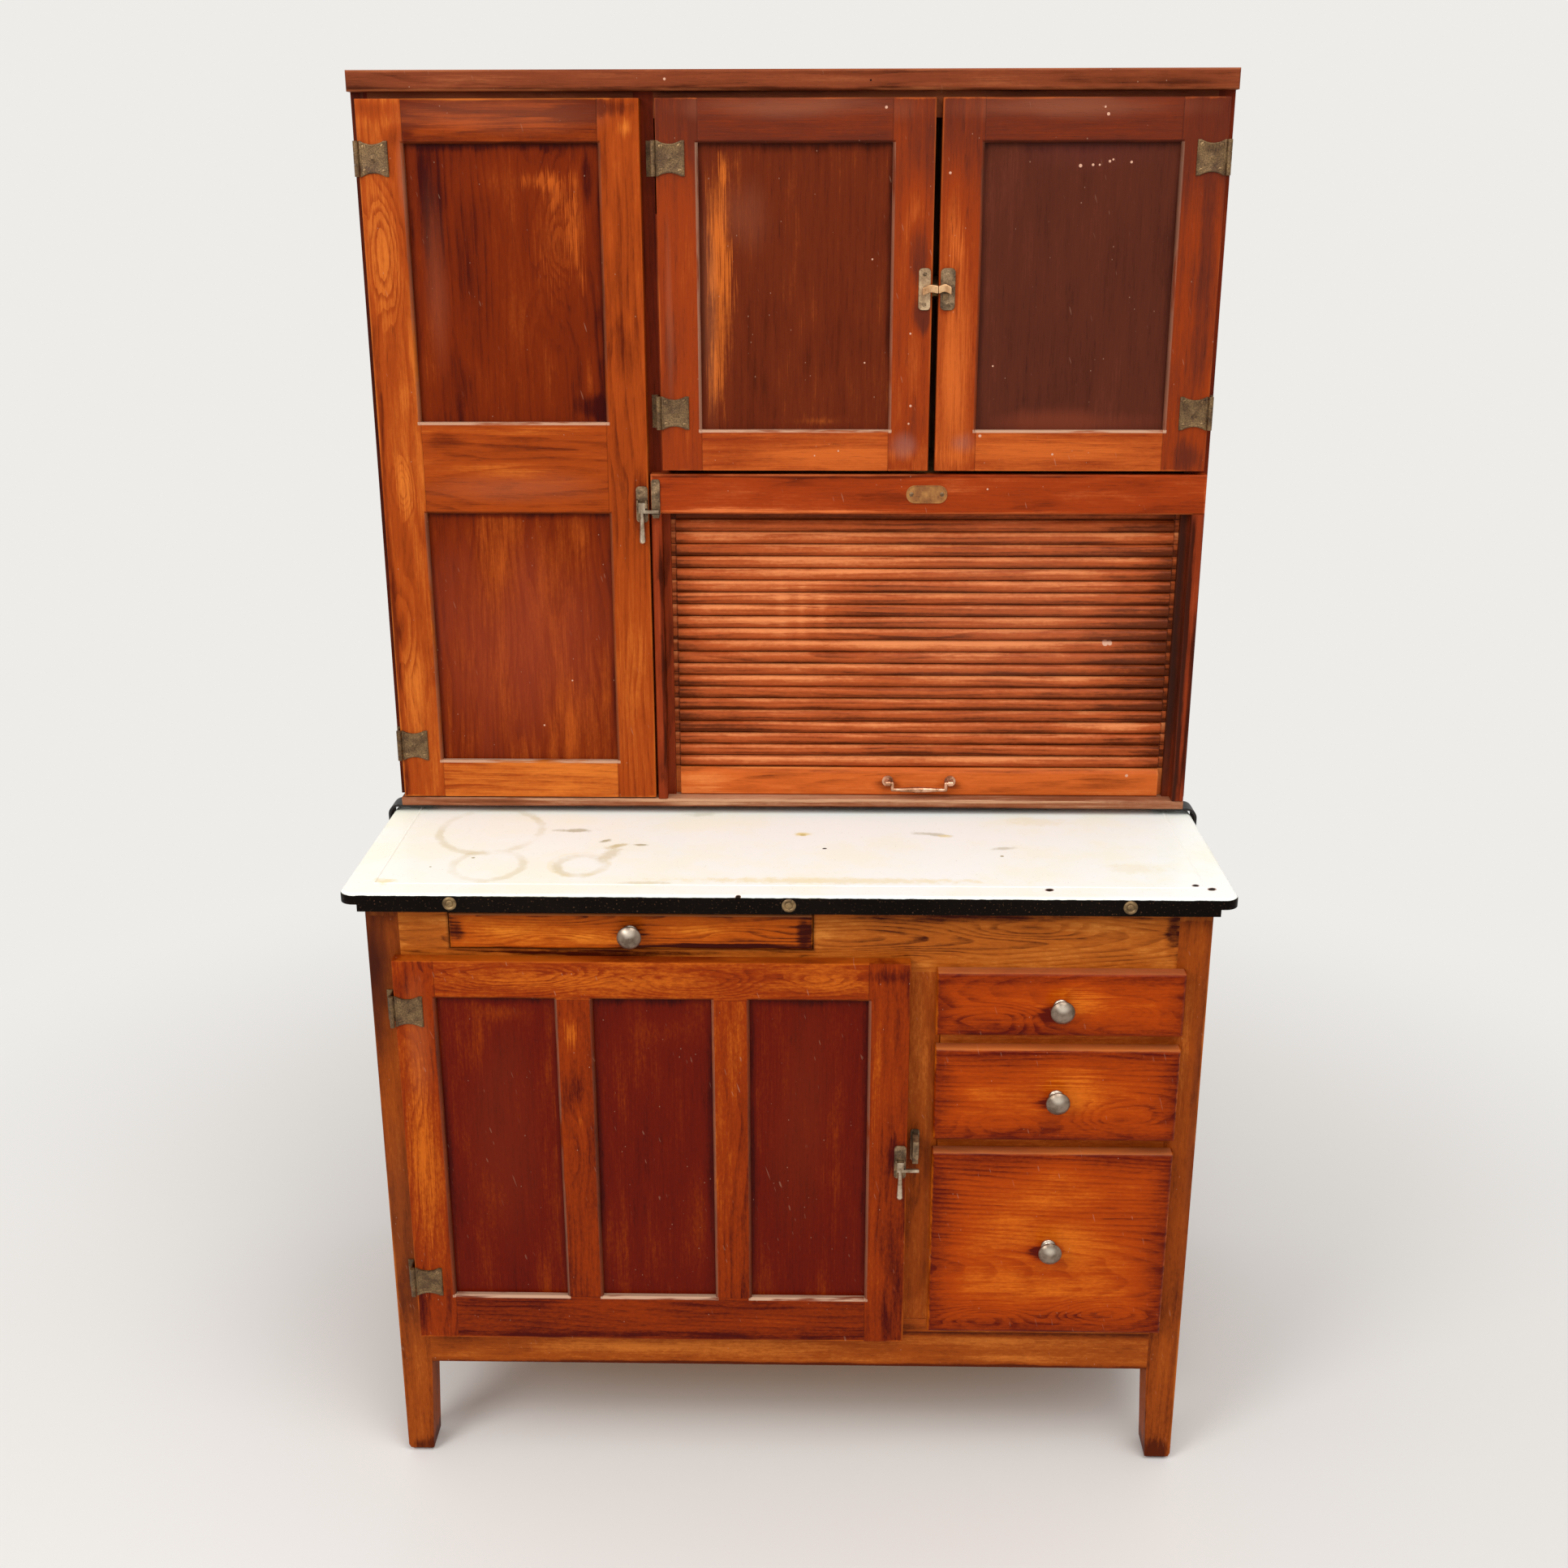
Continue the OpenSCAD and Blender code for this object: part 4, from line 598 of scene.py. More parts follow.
# %% Drawer fronts
for number, (z0, z1, heart, seed) in enumerate(((640.5, 725.5, (690, 700), 3.3),
                                                (495.5, 622.5, (520, 60), 4.9),
                                                (212, 477.5, (300, 60), 6.6)), 1):
    middle_z = (z0 + z1) / 2
    # Each front darkens towards its edges around a painted sheen in the middle; its upper edge
    # carries a painted highlight, and the two dark patches below and left of the knob are the
    # knob's painted shadow.
    dress(f"drawer_{number}_front", wood(f"drawer front {number}", hue(222, 114, 32),
        hue(176, 68, 14), hue(92, 27, 6), lying=1, heart=heart, slant=0.14, seed=seed, ring=150,
        swirl=8, figure=0.36, thick=0.36, gloss=0.34, scuff=0.5, scratches=0.4,
        outline=(183, 486, z0, z1), rims=[(183, 486, z0, z1, 60, 0.75)],
        lit=[(184, 485, z1 - 1.6, z1 + 1, 0.4)],
        knots=[(410, z0 + 34, 80, 30, 4), (260, z0 + 26, 70, 26, 3)],
        worn=[(345, z1 - 26, 60, 30, 0.4), (360, middle_z, 50, 40, 0.35)],
        stains_and_shade=[(334, middle_z - 8, 26, 22, 0.7), (322, middle_z - 12, 22, 14, 0.6)]))
    dress(f"drawer_{number}_box", wood(f"drawer box {number}", hue(222, 188, 140),
        hue(200, 158, 106), hue(150, 104, 62), lying=1, seed=number, thick=0.35, gloss=0.62,
        figure=0.25))
print("three drawers varnished")

# %% [markdown]
# The hutch is a little redder than the base. Its long boards differ mostly in what has
# happened to them: the rail under the doors is rubbed along its lower edge, where hands
# reach for the curtain. The bottom board is drawn paler along its upper edge, and darker
# along its lower edge as a painted shadow over the gap above the worktop.

# %% Boards of the hutch
case = wood("hutch case", hue(168, 76, 36), hue(116, 42, 22), hue(60, 22, 12), heart=(0, 3000),
            seed=1.1, thick=0.55, figure=0.25, openings=[(-548, -519, 840, 1760)])
for node in ("hutch_side_left", "hutch_side_right", "hutch_partition"):
    dress(node, case)
# The top board darkens along its lower edge, a painted shade in the groove over the doors.
dress("hutch_top", wood("hutch top board", hue(172, 98, 60), hue(126, 62, 38), hue(70, 32, 20),
    lying=1, heart=(1800, 200), seed=2.1, ring=90, thick=0.5, gloss=0.44, figure=0.25,
    outline=(-540, 540, 1742, 1764.5), worn=[(-390, 1752, 90, 9, 0.5), (60, 1754, 80, 7, 0.3)],
    stains_and_shade=[(0, 1742, 700, 5, 0.7), (420, 1752, 120, 9, 0.3)], scratches=0.4,
    dots=[(-150, 1754, 2, PALE_CHIP), (95, 1752, 1.6, SOOT_AND_SHADE)]))
# Paler along the upper edge, and darker along the lower edge as a painted shadow over the gap above
# the worktop.
dress("hutch_bottom", wood("hutch bottom board", hue(196, 148, 114), hue(142, 84, 56),
    hue(66, 32, 20), lying=1, heart=(900, 200), seed=7.1, ring=90, thick=0.4, gloss=0.6,
    figure=0.3, worn=[(0, 848, 520, 3, 0.9), (-100, 844, 90, 4, 0.5)],
    stains_and_shade=[(0, 839, 600, 2.5, 0.8), (-400, 845, 100, 6, 0.5)]))
dress("hutch_rail", wood("hutch rail", hue(214, 112, 60), hue(156, 60, 26), hue(92, 34, 20),
    lying=1, heart=(1250, 2900), seed=4.4, ring=90, figure=0.2, thick=0.52, gloss=0.36,
    worn=[(-60, 1240, 120, 6, 0.75), (70, 1239, 90, 4, 0.6), (330, 1239, 60, 3, 0.4)],
    stains_and_shade=[(0, 1284, 700, 4, 0.6), (-172, 1262, 8, 26, 0.4)], scratches=0.4,
    outline=(-178.5, 526.7, 1236, 1286), dots=[(250, 1268, 1.6, PALE_CHIP)]))
# The dark veils and dark patches beside the slats are painted shadow in the grooves where the slats
# run; the lit strip on the left is a painted highlight.
dress("curtain_guides", wood("curtain stiles", hue(196, 100, 56), hue(140, 56, 30),
    hue(66, 28, 17), seed=5.5, heart=(-172, 3000), thick=0.5, gloss=0.45,
    stains_and_shade=[(-168, 1050, 4, 260, 0.6), (514, 1050, 4, 260, 0.9), (524, 1000, 4, 160, 0.5)],
    veils=[(504, 1050, 16, 460, 1.0, hue(56, 27, 18)), (-151, 1050, 5, 460, 0.8, hue(60, 30, 20))],
    lit=[(-156, -153.5, 852, 1230, 0.3)]))
side = wood("base sides", hue(190, 100, 46), hue(134, 54, 24), hue(78, 30, 14), seed=3.7,
    lying=lambda f: 1 - f.inside(-3000, 3000, 220, 707).over(0), heart=(0, 3000), thick=0.5)
for node in ("base_side_left", "base_side_right"):
    dress(node, side)
print("hutch boards and base sides varnished")

# %% [markdown]
# Inside, nobody varnished anything. The backs, floors and shelves are pale softwood that
# has only yellowed, and the back is a row of narrow boards, each with its own grain.

# %% Unvarnished insides
raw = dict(pale=hue(226, 190, 138), middle=hue(200, 152, 98), dark=hue(146, 98, 58),
           thick=0.4, gloss=0.68, figure=0.35, pits=0.2)
BACKS = (("hutch_back", "hutch back boards", 7.0, 0.511, 0.12775),
         ("base_back", "base back boards", 8.0, 0.476, 0.119))
for node, name, seed, half, board in BACKS:
    dress(node, wood(name, heart=(0, 2600), seed=seed, spread=0.1,
                     each=lambda f: ((f.x + half) / board).floor(), **raw))
lying_raw = wood("inside boards", lying=1, heart=(0, 900), seed=9.0, **raw)
for node in ("base_floor", "base_shelf", "hutch_shelves"):
    dress(node, lying_raw)
upright_raw = wood("inside uprights", heart=(0, 2600), seed=9.5, **raw)
for node in ("base_partition", "drawer_runners", "top_runners", "bread_guides"):
    dress(node, upright_raw)
print("back boards are", BACKS[0][-1], "and", BACKS[1][-1], "m wide")

# %% [markdown]
# The curtain is a row of half-round slats, each cut from its own strip, so the grain
# changes from slat to slat. Each slat has a painted highlight on its upper side and painted
# shade on its lower side, and the lines between slats hold painted shade and grime. The
# middle, where hands push it up, is rubbed paler; the ends, and the top under the rail,
# get painted shade.

# %% The curtain
SLAT_Z, PITCH = 888.3, 16


def slats_up(f):
    """Height above the lowest slat, counted in slats."""
    return (f.z - SLAT_Z / 1000) / (PITCH / 1000)


def slat_gap_shade_and_grime(f):
    """Grime and painted shade in the lines between slats."""
    rise = slats_up(f).part()
    return (1 - rise.low(1 - rise).ease(0.0, 0.07)) * 0.75


def painted_slat_light_and_tone(f):
    """Painted shade below and a painted highlight on the upper side, and each slat with a tone of
    its own.
    """
    rise, number = slats_up(f).part(), slats_up(f).floor()
    own = f.noise(f.vector(f.x * 2.2, number * 1.7, 4.0), scale=1, detail=2) - 0.5
    return 0.35 - rise.ease(0.05, 0.5) * 0.4 - rise.ease(0.55, 0.8) * 0.3 + own * 1.1


# The darkening towards the ends, towards the top under the rail, and the large dark patch at the
# right end is painted shade.
dress("curtain_slats", wood("curtain slats", hue(222, 134, 82), hue(176, 84, 44), hue(92, 42, 24),
    lying=1, each=lambda f: slats_up(f).floor(), spread=0.05, shade=painted_slat_light_and_tone, gap_grime_and_shade=slat_gap_shade_and_grime,
    heart=(1050, 2900), slant=0.01, seed=3.9, ring=160, figure=0.5, thick=0.48, gloss=0.42,
    scuff=0.6,
    worn=[(-20, 1120, 110, 60, 0.25), (-12, 1105, 11, 70, 0.25), (14, 1100, 8, 60, 0.25),
          (40, 1100, 8, 50, 0.2), (60, 1160, 200, 50, 0.15), (-40, 900, 120, 24, 0.3)],
    rims=[(-149, 494, 700, 1400, 40, 0.45)], fades=[(1205, 1238, 0.4)],
    stains_and_shade=[(470, 1050, 110, 220, 0.45), (300, 960, 160, 60, 0.2), (-100, 960, 80, 50, 0.3)],
    veils=[(300, 1100, 260, 200, 0.15, hue(150, 92, 70))],
    dots=[(414, 1062, 5, PALE_CHIP), (420, 1062, 4, PALE_CHIP)]))
dress("curtain_bar", wood("curtain bar", hue(232, 140, 76), hue(204, 100, 44), hue(124, 54, 24),
    lying=1, heart=(850, 2500), slant=0.03, seed=4.7, ring=140, figure=0.35, thick=0.42,
    outline=(-149, 494, 850, 888), fades=[(876, 888, 0.3)], dots=[(452, 880, 2.6, PALE_CHIP)],
    stains_and_shade=[(130, 866, 26, 12, 0.6), (214, 866, 26, 12, 0.6), (-60, 858, 60, 8, 0.3),
             (430, 870, 60, 20, 0.4)]))
print("curtain varnished, slats every", PITCH, "mm")

# %% [markdown]
# Behind the slats a sheet of canvas is glued, and it is what bends. A plain weave is two
# sets of threads that cross: two waves, one along each way, multiplied.

# %% Canvas and the board under the worktop
THREADS = 5200
f = Finish("canvas")
warp, weft = (f.x * THREADS).wave(), (f.z * THREADS).wave()
weave = warp * weft * 0.5 + 0.5
age = f.noise(f.place, 30, 4)
cloth = f.mix(age.ease(0.35, 0.65), hue(196, 178, 142), hue(150, 126, 88))
dress("curtain_canvas", f.finish(f.mix(weave * 0.35, cloth, hue(96, 78, 52), "MULTIPLY"),
                                 0.9 - weave * 0.05, weave, depth=0.0003, strength=0.6))
dress("worktop_board", wood("dark board", hue(86, 44, 28), hue(58, 30, 20), hue(30, 16, 12),
    lying=1, heart=(700, 0), seed=2.7, thick=0.6, gloss=0.5))
print("canvas threads are", round(2 * math.pi / THREADS * 1000, 2), "mm apart")

# %% [markdown]
# The worktop is a steel sheet coated in glass: white on top and black on its rolled edge
# and apron. Pots and cups have left brown rings on it. A ring is the places whose distance
# from a centre is close to one length; noise makes it uneven. Where the glass has chipped,
# the dark steel shows with a rusty rim.

# %% The enamelled sheet
f = Finish("enamel")
cloud = f.noise(f.place, 9, 4, 0.6)
grit = f.noise(f.place, 70, 3, 0.6)
hair = f.noise(f.place, 420, 2)


def spot(x, y, wide, deep, turned=0.0):
    """1 in the middle of an ellipse that lies on the worktop, 0 at its rim."""
    cos, sin = math.cos(math.radians(turned)), math.sin(math.radians(turned))
    dx, dy = f.x - x / 1000, f.y - y / 1000
    along, over = (dx * cos + dy * sin) / (wide / 1000), (dy * cos - dx * sin) / (deep / 1000)
    return 1 - (along * along + over * over).root()


def cup_ring(x, y, wide, deep, width, turned=0.0):
    """The mark of a wet cup: strongest on the ellipse itself."""
    edge = abs(spot(x, y, wide, deep, turned)) * min(wide, deep)
    return (edge + (grit - 0.5) * width * 1.6).ease(width, width * 0.25) * 0.75


print("spot() and cup_ring() are ready")

# %% Rings and smears
white, cream = hue(253, 255, 250), hue(254, 251, 226)
tea, mud, straw = hue(200, 178, 112), hue(172, 160, 118), hue(236, 212, 132)
colour = f.mix(cloud.ease(0.40, 0.66) * 0.5, white, cream)
colour = f.mix((0.15 - f.x).ease(0.0, 0.7) * 0.25, colour, cream)
colour = f.mix(hair.ease(0.62, 0.70) * grit.ease(0.5, 0.6) * 0.35, colour, mud)
rings = [(-394, -65, 66, 84, 8, 4, 0.45, tea), (-376, -192, 44, 50, 8, 0, 0.4, tea),
         (-259, -191, 30, 33, 9, 0, 0.55, tea), (-262, -186, 37, 40, 5, 0, 0.25, straw)]
smears = [(-284, -62, 34, 9, 4, 0.7, mud), (-238, -100, 7, 12, -40, 0.8, mud),
          (-221, -120, 9, 26, -60, 0.7, tea), (-191, -115, 15, 5, 0, 0.8, mud),
          (-228, -150, 14, 40, -20, 0.45, tea), (17, -72, 15, 11, 0, 0.9, straw),
          (17, -74, 6, 5, 0, 0.7, tea), (186, -70, 34, 9, -12, 0.55, mud),
          (203, -76, 12, 7, 0, 0.7, straw), (276, -121, 24, 7, 10, 0.5, mud),
          (-492, -247, 22, 12, 0, 0.6, straw),
          (-173, -247, 40, 8, 0, 0.4, tea), (60, -236, 260, 14, 0, 0.45, straw),
          (-447, -197, 3, 3, 0, 1, mud), (-399, -165, 3, 3, 0, 1, mud),
          (270, -149, 3, 3, 0, 1, mud), (-120, 4, 30, 12, 10, 0.3, mud),
          (330, -20, 60, 24, 0, 0.2, straw), (430, -190, 50, 24, 0, 0.2, straw)]
for x, y, wide, deep, width, turned, amount, tint in rings:
    broken = cloud.ease(0.34, 0.6)
    colour = f.mix(cup_ring(x, y, wide, deep, width, turned) * broken * amount, colour, tint)
for x, y, wide, deep, turned, amount, tint in smears:
    mark = (spot(x, y, wide, deep, turned) + (grit - 0.5) * 1.4).ease(0.05, 0.75) * amount * 0.95
    colour = f.mix(mark, colour, tint)
print(len(rings), "cup rings and", len(smears), "smears on the enamel")

# %% Chips and the black edge
ROLL_Z = 0.8262
CHIPS = ((316, -262, 6), (512, -256, 7), (495, -245, 5), (45, -125, 3), (-58, -287, 4))
chips = f.x * 0.0
for x, y, size in CHIPS:
    chips = chips.high(spot(x, y, size, size * 0.8, 20) + (grit - 0.5) * 1.1)
colour = f.mix(chips.ease(0.0, 0.25) * 0.8, colour, hue(150, 92, 52))
colour = f.mix(chips.ease(0.2, 0.4), colour, hue(34, 22, 18))
under = (ROLL_Z + (grit - 0.5) * 0.0016 - f.z).ease(-0.0004, 0.0005)
black = f.mix(cloud.ease(0.4, 0.7), hue(10, 5, 3), hue(17, 10, 6))
black = f.mix(hair.ease(0.64, 0.70) * 0.5, black, hue(120, 84, 60))
colour = f.mix(under, colour, black)
rough = 0.26 + grit * 0.12 + chips.ease(0.0, 0.3) * 0.4
f.feed(f.shader, {"Coat Weight": 0.06 - under * 0.06})
dress("worktop_sheet", f.finish(colour, rough, cloud * 0.3 - chips.ease(0.0, 0.4), depth=0.0006,
                                strength=0.35, Specular_IOR_Level=0.05))
print(len(CHIPS), "chips; black below", ROLL_Z, "m")

# %% [markdown]
# Metal here is never one colour. Plating wears off the high places first and dulls in the
# low ones, so each finish runs from a bright tone to a dull one by noise, with dark spots
# between. The hinges are stippled all over, which is one small hill per Voronoi cell.

# %% Metals
def metal(name, bright, dull, dark, rough=0.4, stipple=0.0, brushed=0.0, metallic=0.8, rust=0.3,
          bump=0.5, lights=()):
    """lights are places, as ellipses in mm, where a highlight is painted."""
    f = Finish(name)
    cloud = f.noise(f.place, 70, 4, 0.6)
    grit = f.noise(f.place, 420, 3, 0.6)
    colour = f.mix(cloud.ease(0.36, 0.64), bright, dull)
    colour = f.mix((grit * 0.6 + cloud * 0.4).ease(0.54, 0.70) * (0.4 + rust), colour, dark)
    for x, z, wide, tall in lights:
        colour = f.mix(f.patch(x, z, wide, tall).ease(0, 0.9) * 0.85, colour, hue(222, 208, 190))
    relief = grit * 0.4
    if stipple:
        hills = f.cells(f.place, 640)
        colour = f.mix(hills.ease(0.25, 0.75) * stipple, colour, dark)
        relief = relief - hills * 1.4
    if brushed:
        lines = f.noise(f.scaled(f.place, (1600, 30, 1600)), detail=1)
        colour = f.mix(lines.ease(0.5, 0.75) * brushed, colour, dull)
        relief = relief + lines * 0.2
    return f.finish(colour, rough + (grit - 0.5) * 0.3, relief, depth=0.0004, strength=bump,
                    Metallic=metallic)


print("metal() is ready")

# %% The finishes of metal
brass = metal("stippled brass", hue(134, 104, 66), hue(98, 70, 42), hue(44, 28, 15), 0.5,
              stipple=0.5, metallic=0.5)
latch_steel = metal("latch metal", hue(160, 130, 96), hue(98, 76, 54), hue(38, 28, 20), 0.42,
                    stipple=0.3, metallic=0.6)
worn_nickel = metal("worn nickel", hue(204, 184, 160), hue(146, 126, 104), hue(72, 54, 40), 0.3,
                    brushed=0.3, rust=0.1, metallic=0.95)
# The light patches on the upper side of each knob are a painted highlight.
knob_nickel = metal("knob nickel", hue(150, 132, 116), hue(108, 92, 78), hue(60, 46, 36), 0.36,
                    brushed=0.3, rust=0.1, metallic=1.0, bump=0.12,
                    lights=[(-191.5, 778, 10, 7)]
                    + [(334, z + 7, 10, 7) for z in (683, 559, 344.75)])
tongue_brass = metal("tongue brass", hue(226, 182, 134), hue(186, 138, 94), hue(96, 62, 40), 0.36,
                     rust=0.1, metallic=0.7)
screw_brass = metal("screw brass", hue(146, 116, 78), hue(108, 80, 50), hue(44, 28, 16), 0.42,
                    metallic=0.6)
copper_worn = metal("coppery wire", hue(222, 176, 146), hue(168, 118, 86), hue(72, 44, 30), 0.32,
                    rust=0.2, metallic=0.9)
black_iron = metal("black iron", hue(34, 30, 28), hue(22, 19, 18), hue(70, 42, 28), 0.5, rust=0.0,
                   metallic=0.3)
pale_plate = metal("pale catch plate", hue(206, 176, 138), hue(160, 128, 94), hue(66, 44, 30), 0.42,
                   stipple=0.2, metallic=0.5)
plate_brass = metal("dull plate", hue(178, 122, 62), hue(142, 88, 42), hue(70, 36, 18), 0.42,
                    metallic=0.4)
washer_brass = metal("washer brass", hue(150, 122, 82), hue(94, 72, 44), hue(30, 20, 12), 0.42,
                     metallic=0.6)
METAL_OF = {
    brass: ("frame_hinge_leaves", "tall_door_hinges", "middle_door_hinges",
            "right_door_hinges", "lower_door_hinges"),
    latch_steel: ("tall_door_latch", "lower_door_latch", "latch_keepers"),
    worn_nickel: ("tall_door_lever", "lower_door_lever"),
    copper_worn: ("handle_rosettes", "handle_bail"),
    black_iron: ("hutch_brackets",)}
for finish, nodes in METAL_OF.items():
    for node in nodes:
        dress(node, finish)
print("every loaded piece is dressed")

# %% [markdown]
# The small pieces come next. Each begins as a primitive and is shaped as by hand: faces
# are picked by where they are, then extruded, inset and bevelled. These helpers do the
# picking, and `fit` closes a piece: applies its place, smooths it and hangs it on the
# body that carries it.

# %% Helpers for picking faces
def alone(piece):
    """Leaves edit mode and selects one piece only."""
    if bpy.context.object and bpy.context.object.mode != "OBJECT":
        bpy.ops.object.mode_set(mode="OBJECT")
    bpy.ops.object.select_all(action="DESELECT")
    piece.select_set(True)
    bpy.context.view_layer.objects.active = piece


def pick(piece, wanted, kind="FACE"):
    """Opens a piece for editing with only the wanted faces, edges or corners selected."""
    alone(piece)
    bpy.ops.object.mode_set(mode="EDIT")
    bpy.ops.mesh.select_mode(type=kind)
    bpy.ops.mesh.select_all(action="DESELECT")
    bpy.ops.object.mode_set(mode="OBJECT")
    mesh = piece.data
    if kind == "FACE":
        for face in mesh.polygons:
            face.select = wanted(face.center, face.normal)
    elif kind == "EDGE":
        for edge in mesh.edges:
            a, b = (mesh.vertices[i].co for i in edge.vertices)
            edge.select = wanted(a, b)
    else:
        for corner in mesh.vertices:
            corner.select = wanted(corner.co)
    bpy.ops.object.mode_set(mode="EDIT")


def fresh(name):
    """Names the primitive that was just added, and applies its place and size."""
    piece = bpy.context.object
    piece.name = piece.data.name = name
    bpy.ops.object.transform_apply(location=True, rotation=True, scale=True)
    return piece


print("picking helpers ready")

# %% Helpers for fitting pieces
def fit(piece, body, material, angle=35):
    """Finishes a piece and hangs it on its body; flatter edges than angle are smoothed."""
    alone(piece)
    bpy.ops.object.transform_apply(location=True, rotation=True, scale=True)
    bpy.ops.object.shade_smooth_by_angle(angle=math.radians(angle))
    piece.data.materials.clear()
    piece.data.materials.append(material)
    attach(piece, body)
    return piece


def placed(model, name, spots, mirrored=False):
    """Copies of a model, each moved to its spot in mm, joined into one piece."""
    made = []
    for place in spots:
        copy = model.copy()
        copy.data = model.data.copy()
        bpy.context.scene.collection.objects.link(copy)
        copy.location = mm(*place[:3])
        if len(place) > 3:
            copy.rotation_euler = (0, math.radians(place[3]), 0)
        if mirrored:
            copy.scale = (-1, 1, 1)
        made.append(copy)
    alone(made[0])
    for copy in made:
        copy.select_set(True)
    bpy.ops.object.transform_apply(location=True, rotation=True, scale=True)
    bpy.ops.object.mode_set(mode="EDIT")
    bpy.ops.mesh.select_all(action="SELECT")
    bpy.ops.mesh.normals_make_consistent(inside=False)
    bpy.ops.object.mode_set(mode="OBJECT")
    if len(made) > 1:
        bpy.ops.object.join()
    piece = bpy.context.object
    piece.name = piece.data.name = name
    return piece


def scrap(model):
    """Removes a model once its copies are made."""
    bpy.data.objects.remove(model, do_unlink=True)


print("fitting helpers ready")

# %% [markdown]
# Knobs, washers and screw heads are turned: round about one axis. By hand, one would take
# a short cylinder and pull its front face out again and again, each time a little wider
# or narrower. `turned` does that from a list of steps: how far out, and what radius.

# %% Turned pieces
def turned(name, steps, sides=40):
    """A piece that stands out towards the front, -Y, from y = 0; steps are in mm."""
    (out0, r0), (out1, r1) = steps[:2]
    bpy.ops.object.select_all(action="DESELECT")
    bpy.ops.mesh.primitive_cylinder_add(
        vertices=sides, radius=r0 / 1000, depth=(out1 - out0) / 1000,
        location=(0, -(out0 + out1) / 2000, 0), rotation=(math.pi / 2, 0, 0))
    piece = fresh(name)
    pick(piece, lambda c, n: n.y < -0.9)
    bpy.ops.transform.resize(value=(r1 / r0,) * 3, center_override=(0, -out1 / 1000, 0))
    out, radius = out1, r1
    for next_out, next_radius in steps[2:]:
        bpy.ops.mesh.extrude_region_move(
            TRANSFORM_OT_translate={"value": (0, (out - next_out) / 1000, 0)})
        bpy.ops.transform.resize(value=(next_radius / radius,) * 3,
                                 center_override=(0, -next_out / 1000, 0))
        out, radius = next_out, next_radius
    bpy.ops.object.mode_set(mode="OBJECT")
    return piece


def slotted(piece, radius, out, wide=0.9, deep=0.8):
    """Cuts a screwdriver's slot across the front of a turned head."""
    bpy.ops.object.select_all(action="DESELECT")
    bpy.ops.mesh.primitive_cube_add(size=1, location=(0, -out / 1000, 0))
    bar = fresh("slot_cutter")
    bar.scale = mm(2.4 * radius, 2 * deep, wide)
    cut = piece.modifiers.new("slot", "BOOLEAN")
    cut.operation, cut.object, cut.solver = "DIFFERENCE", bar, "EXACT"
    alone(piece)
    bpy.ops.object.modifier_apply(modifier="slot")
    scrap(bar)


screw = turned("screw_model", [(-0.6, 2.7), (0, 2.7), (0.35, 2.5), (0.6, 1.9), (0.75, 1.0),
                               (0.8, 0.3)], 24)
slotted(screw, 2.7, 0.8)
print("screw head has", len(screw.data.polygons), "faces")

# %% [markdown]
# Drawer knobs. The real ones are pressed sheet shells on a turned foot: a smooth dome with
# a rolled rim. The loaded knobs hold their place; these turned ones are seen.

# %% Knobs
knob = turned("knob_model", [(0, 9.3), (1.8, 9.3), (2.6, 8.8), (3.1, 7.4), (3.9, 6.2), (6, 5.7),
    (11, 5.6), (13.2, 6.4), (14.8, 8.6), (16.2, 11.6), (17.2, 13.9), (18.0, 14.8), (18.8, 15),
    (19.6, 14.8), (20.2, 14.2), (21.2, 13.2), (22.3, 11.7), (23.4, 9.8), (24.4, 7.5), (25.2, 5.0),
    (25.7, 2.6), (25.9, 0.5)], 48)
BOARD_FACE, DRAWER_FACE = -263.2, -279.8
KNOBS = (("breadboard", (-191.5, BOARD_FACE, 770.7), "bread_board"),
         ("drawer_1", (334.5, DRAWER_FACE, 683), "drawer_top"),
         ("drawer_2", (334.5, DRAWER_FACE, 559), "drawer_middle"),
         ("drawer_3", (334.5, DRAWER_FACE, 344.75), "drawer_bottom"))
for name, place, body in KNOBS:
    piece = placed(knob, f"{name}_turned_knob", [place])
    fit(piece, body, knob_nickel, 50)
    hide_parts(f"{name}_knob")
scrap(knob)

# %% [markdown]
# Screws and washers. Three cup washers hold the worktop's apron, each a shallow dish with
# a slotted screw in it; smaller screws hold every hinge and catch.

# %% Washers on the apron
dish = turned("washer_model", [(-1, 8.6), (0, 8.6), (0.7, 8.4), (1.5, 7.4), (1.9, 6.4),
                               (1.6, 5.4), (0.9, 4.6)], 32)
washer_head = turned("washer_screw_model", [(0, 4.4), (0.8, 4.4), (1.3, 4.2), (1.9, 3.4),
                                            (2.2, 2.1), (2.3, 0.5)], 28)
slotted(washer_head, 4.4, 2.3, 1.1, 1.0)
APRON_FACE, APRON_MIDDLE = -288.2, 816.8
WASHERS = [(x, APRON_FACE, APRON_MIDDLE) for x in (-405.6, 2.3, 410)]
fit(placed(dish, "apron_washers", WASHERS), "worktop", washer_brass)
tilted = [place + (angle,) for place, angle in zip(WASHERS, (38, -20, 65))]
fit(placed(washer_head, "apron_screws", tilted), "worktop", washer_brass)
scrap(dish)
scrap(washer_head)
print(len(WASHERS), "washers on the apron")

# %% [markdown]
# Each hinge leaf is a plate with hollowed ends, a raised border and a sunken, stippled
# field. A thin slab is cut into upright strips, each strip's ends are pulled in along a
# curve, and an inset with a negative depth sinks the field.

# %% Faces of the hinges
LEAF_START, LEAF_WIDE, LEAF_HALF, STRIPS = 4.6, 32.8, 19.9, 16
HOLLOW, HOLLOW_X, HOLLOW_Z = 28, 19.5, 43.9
CLOSE = 0.0004


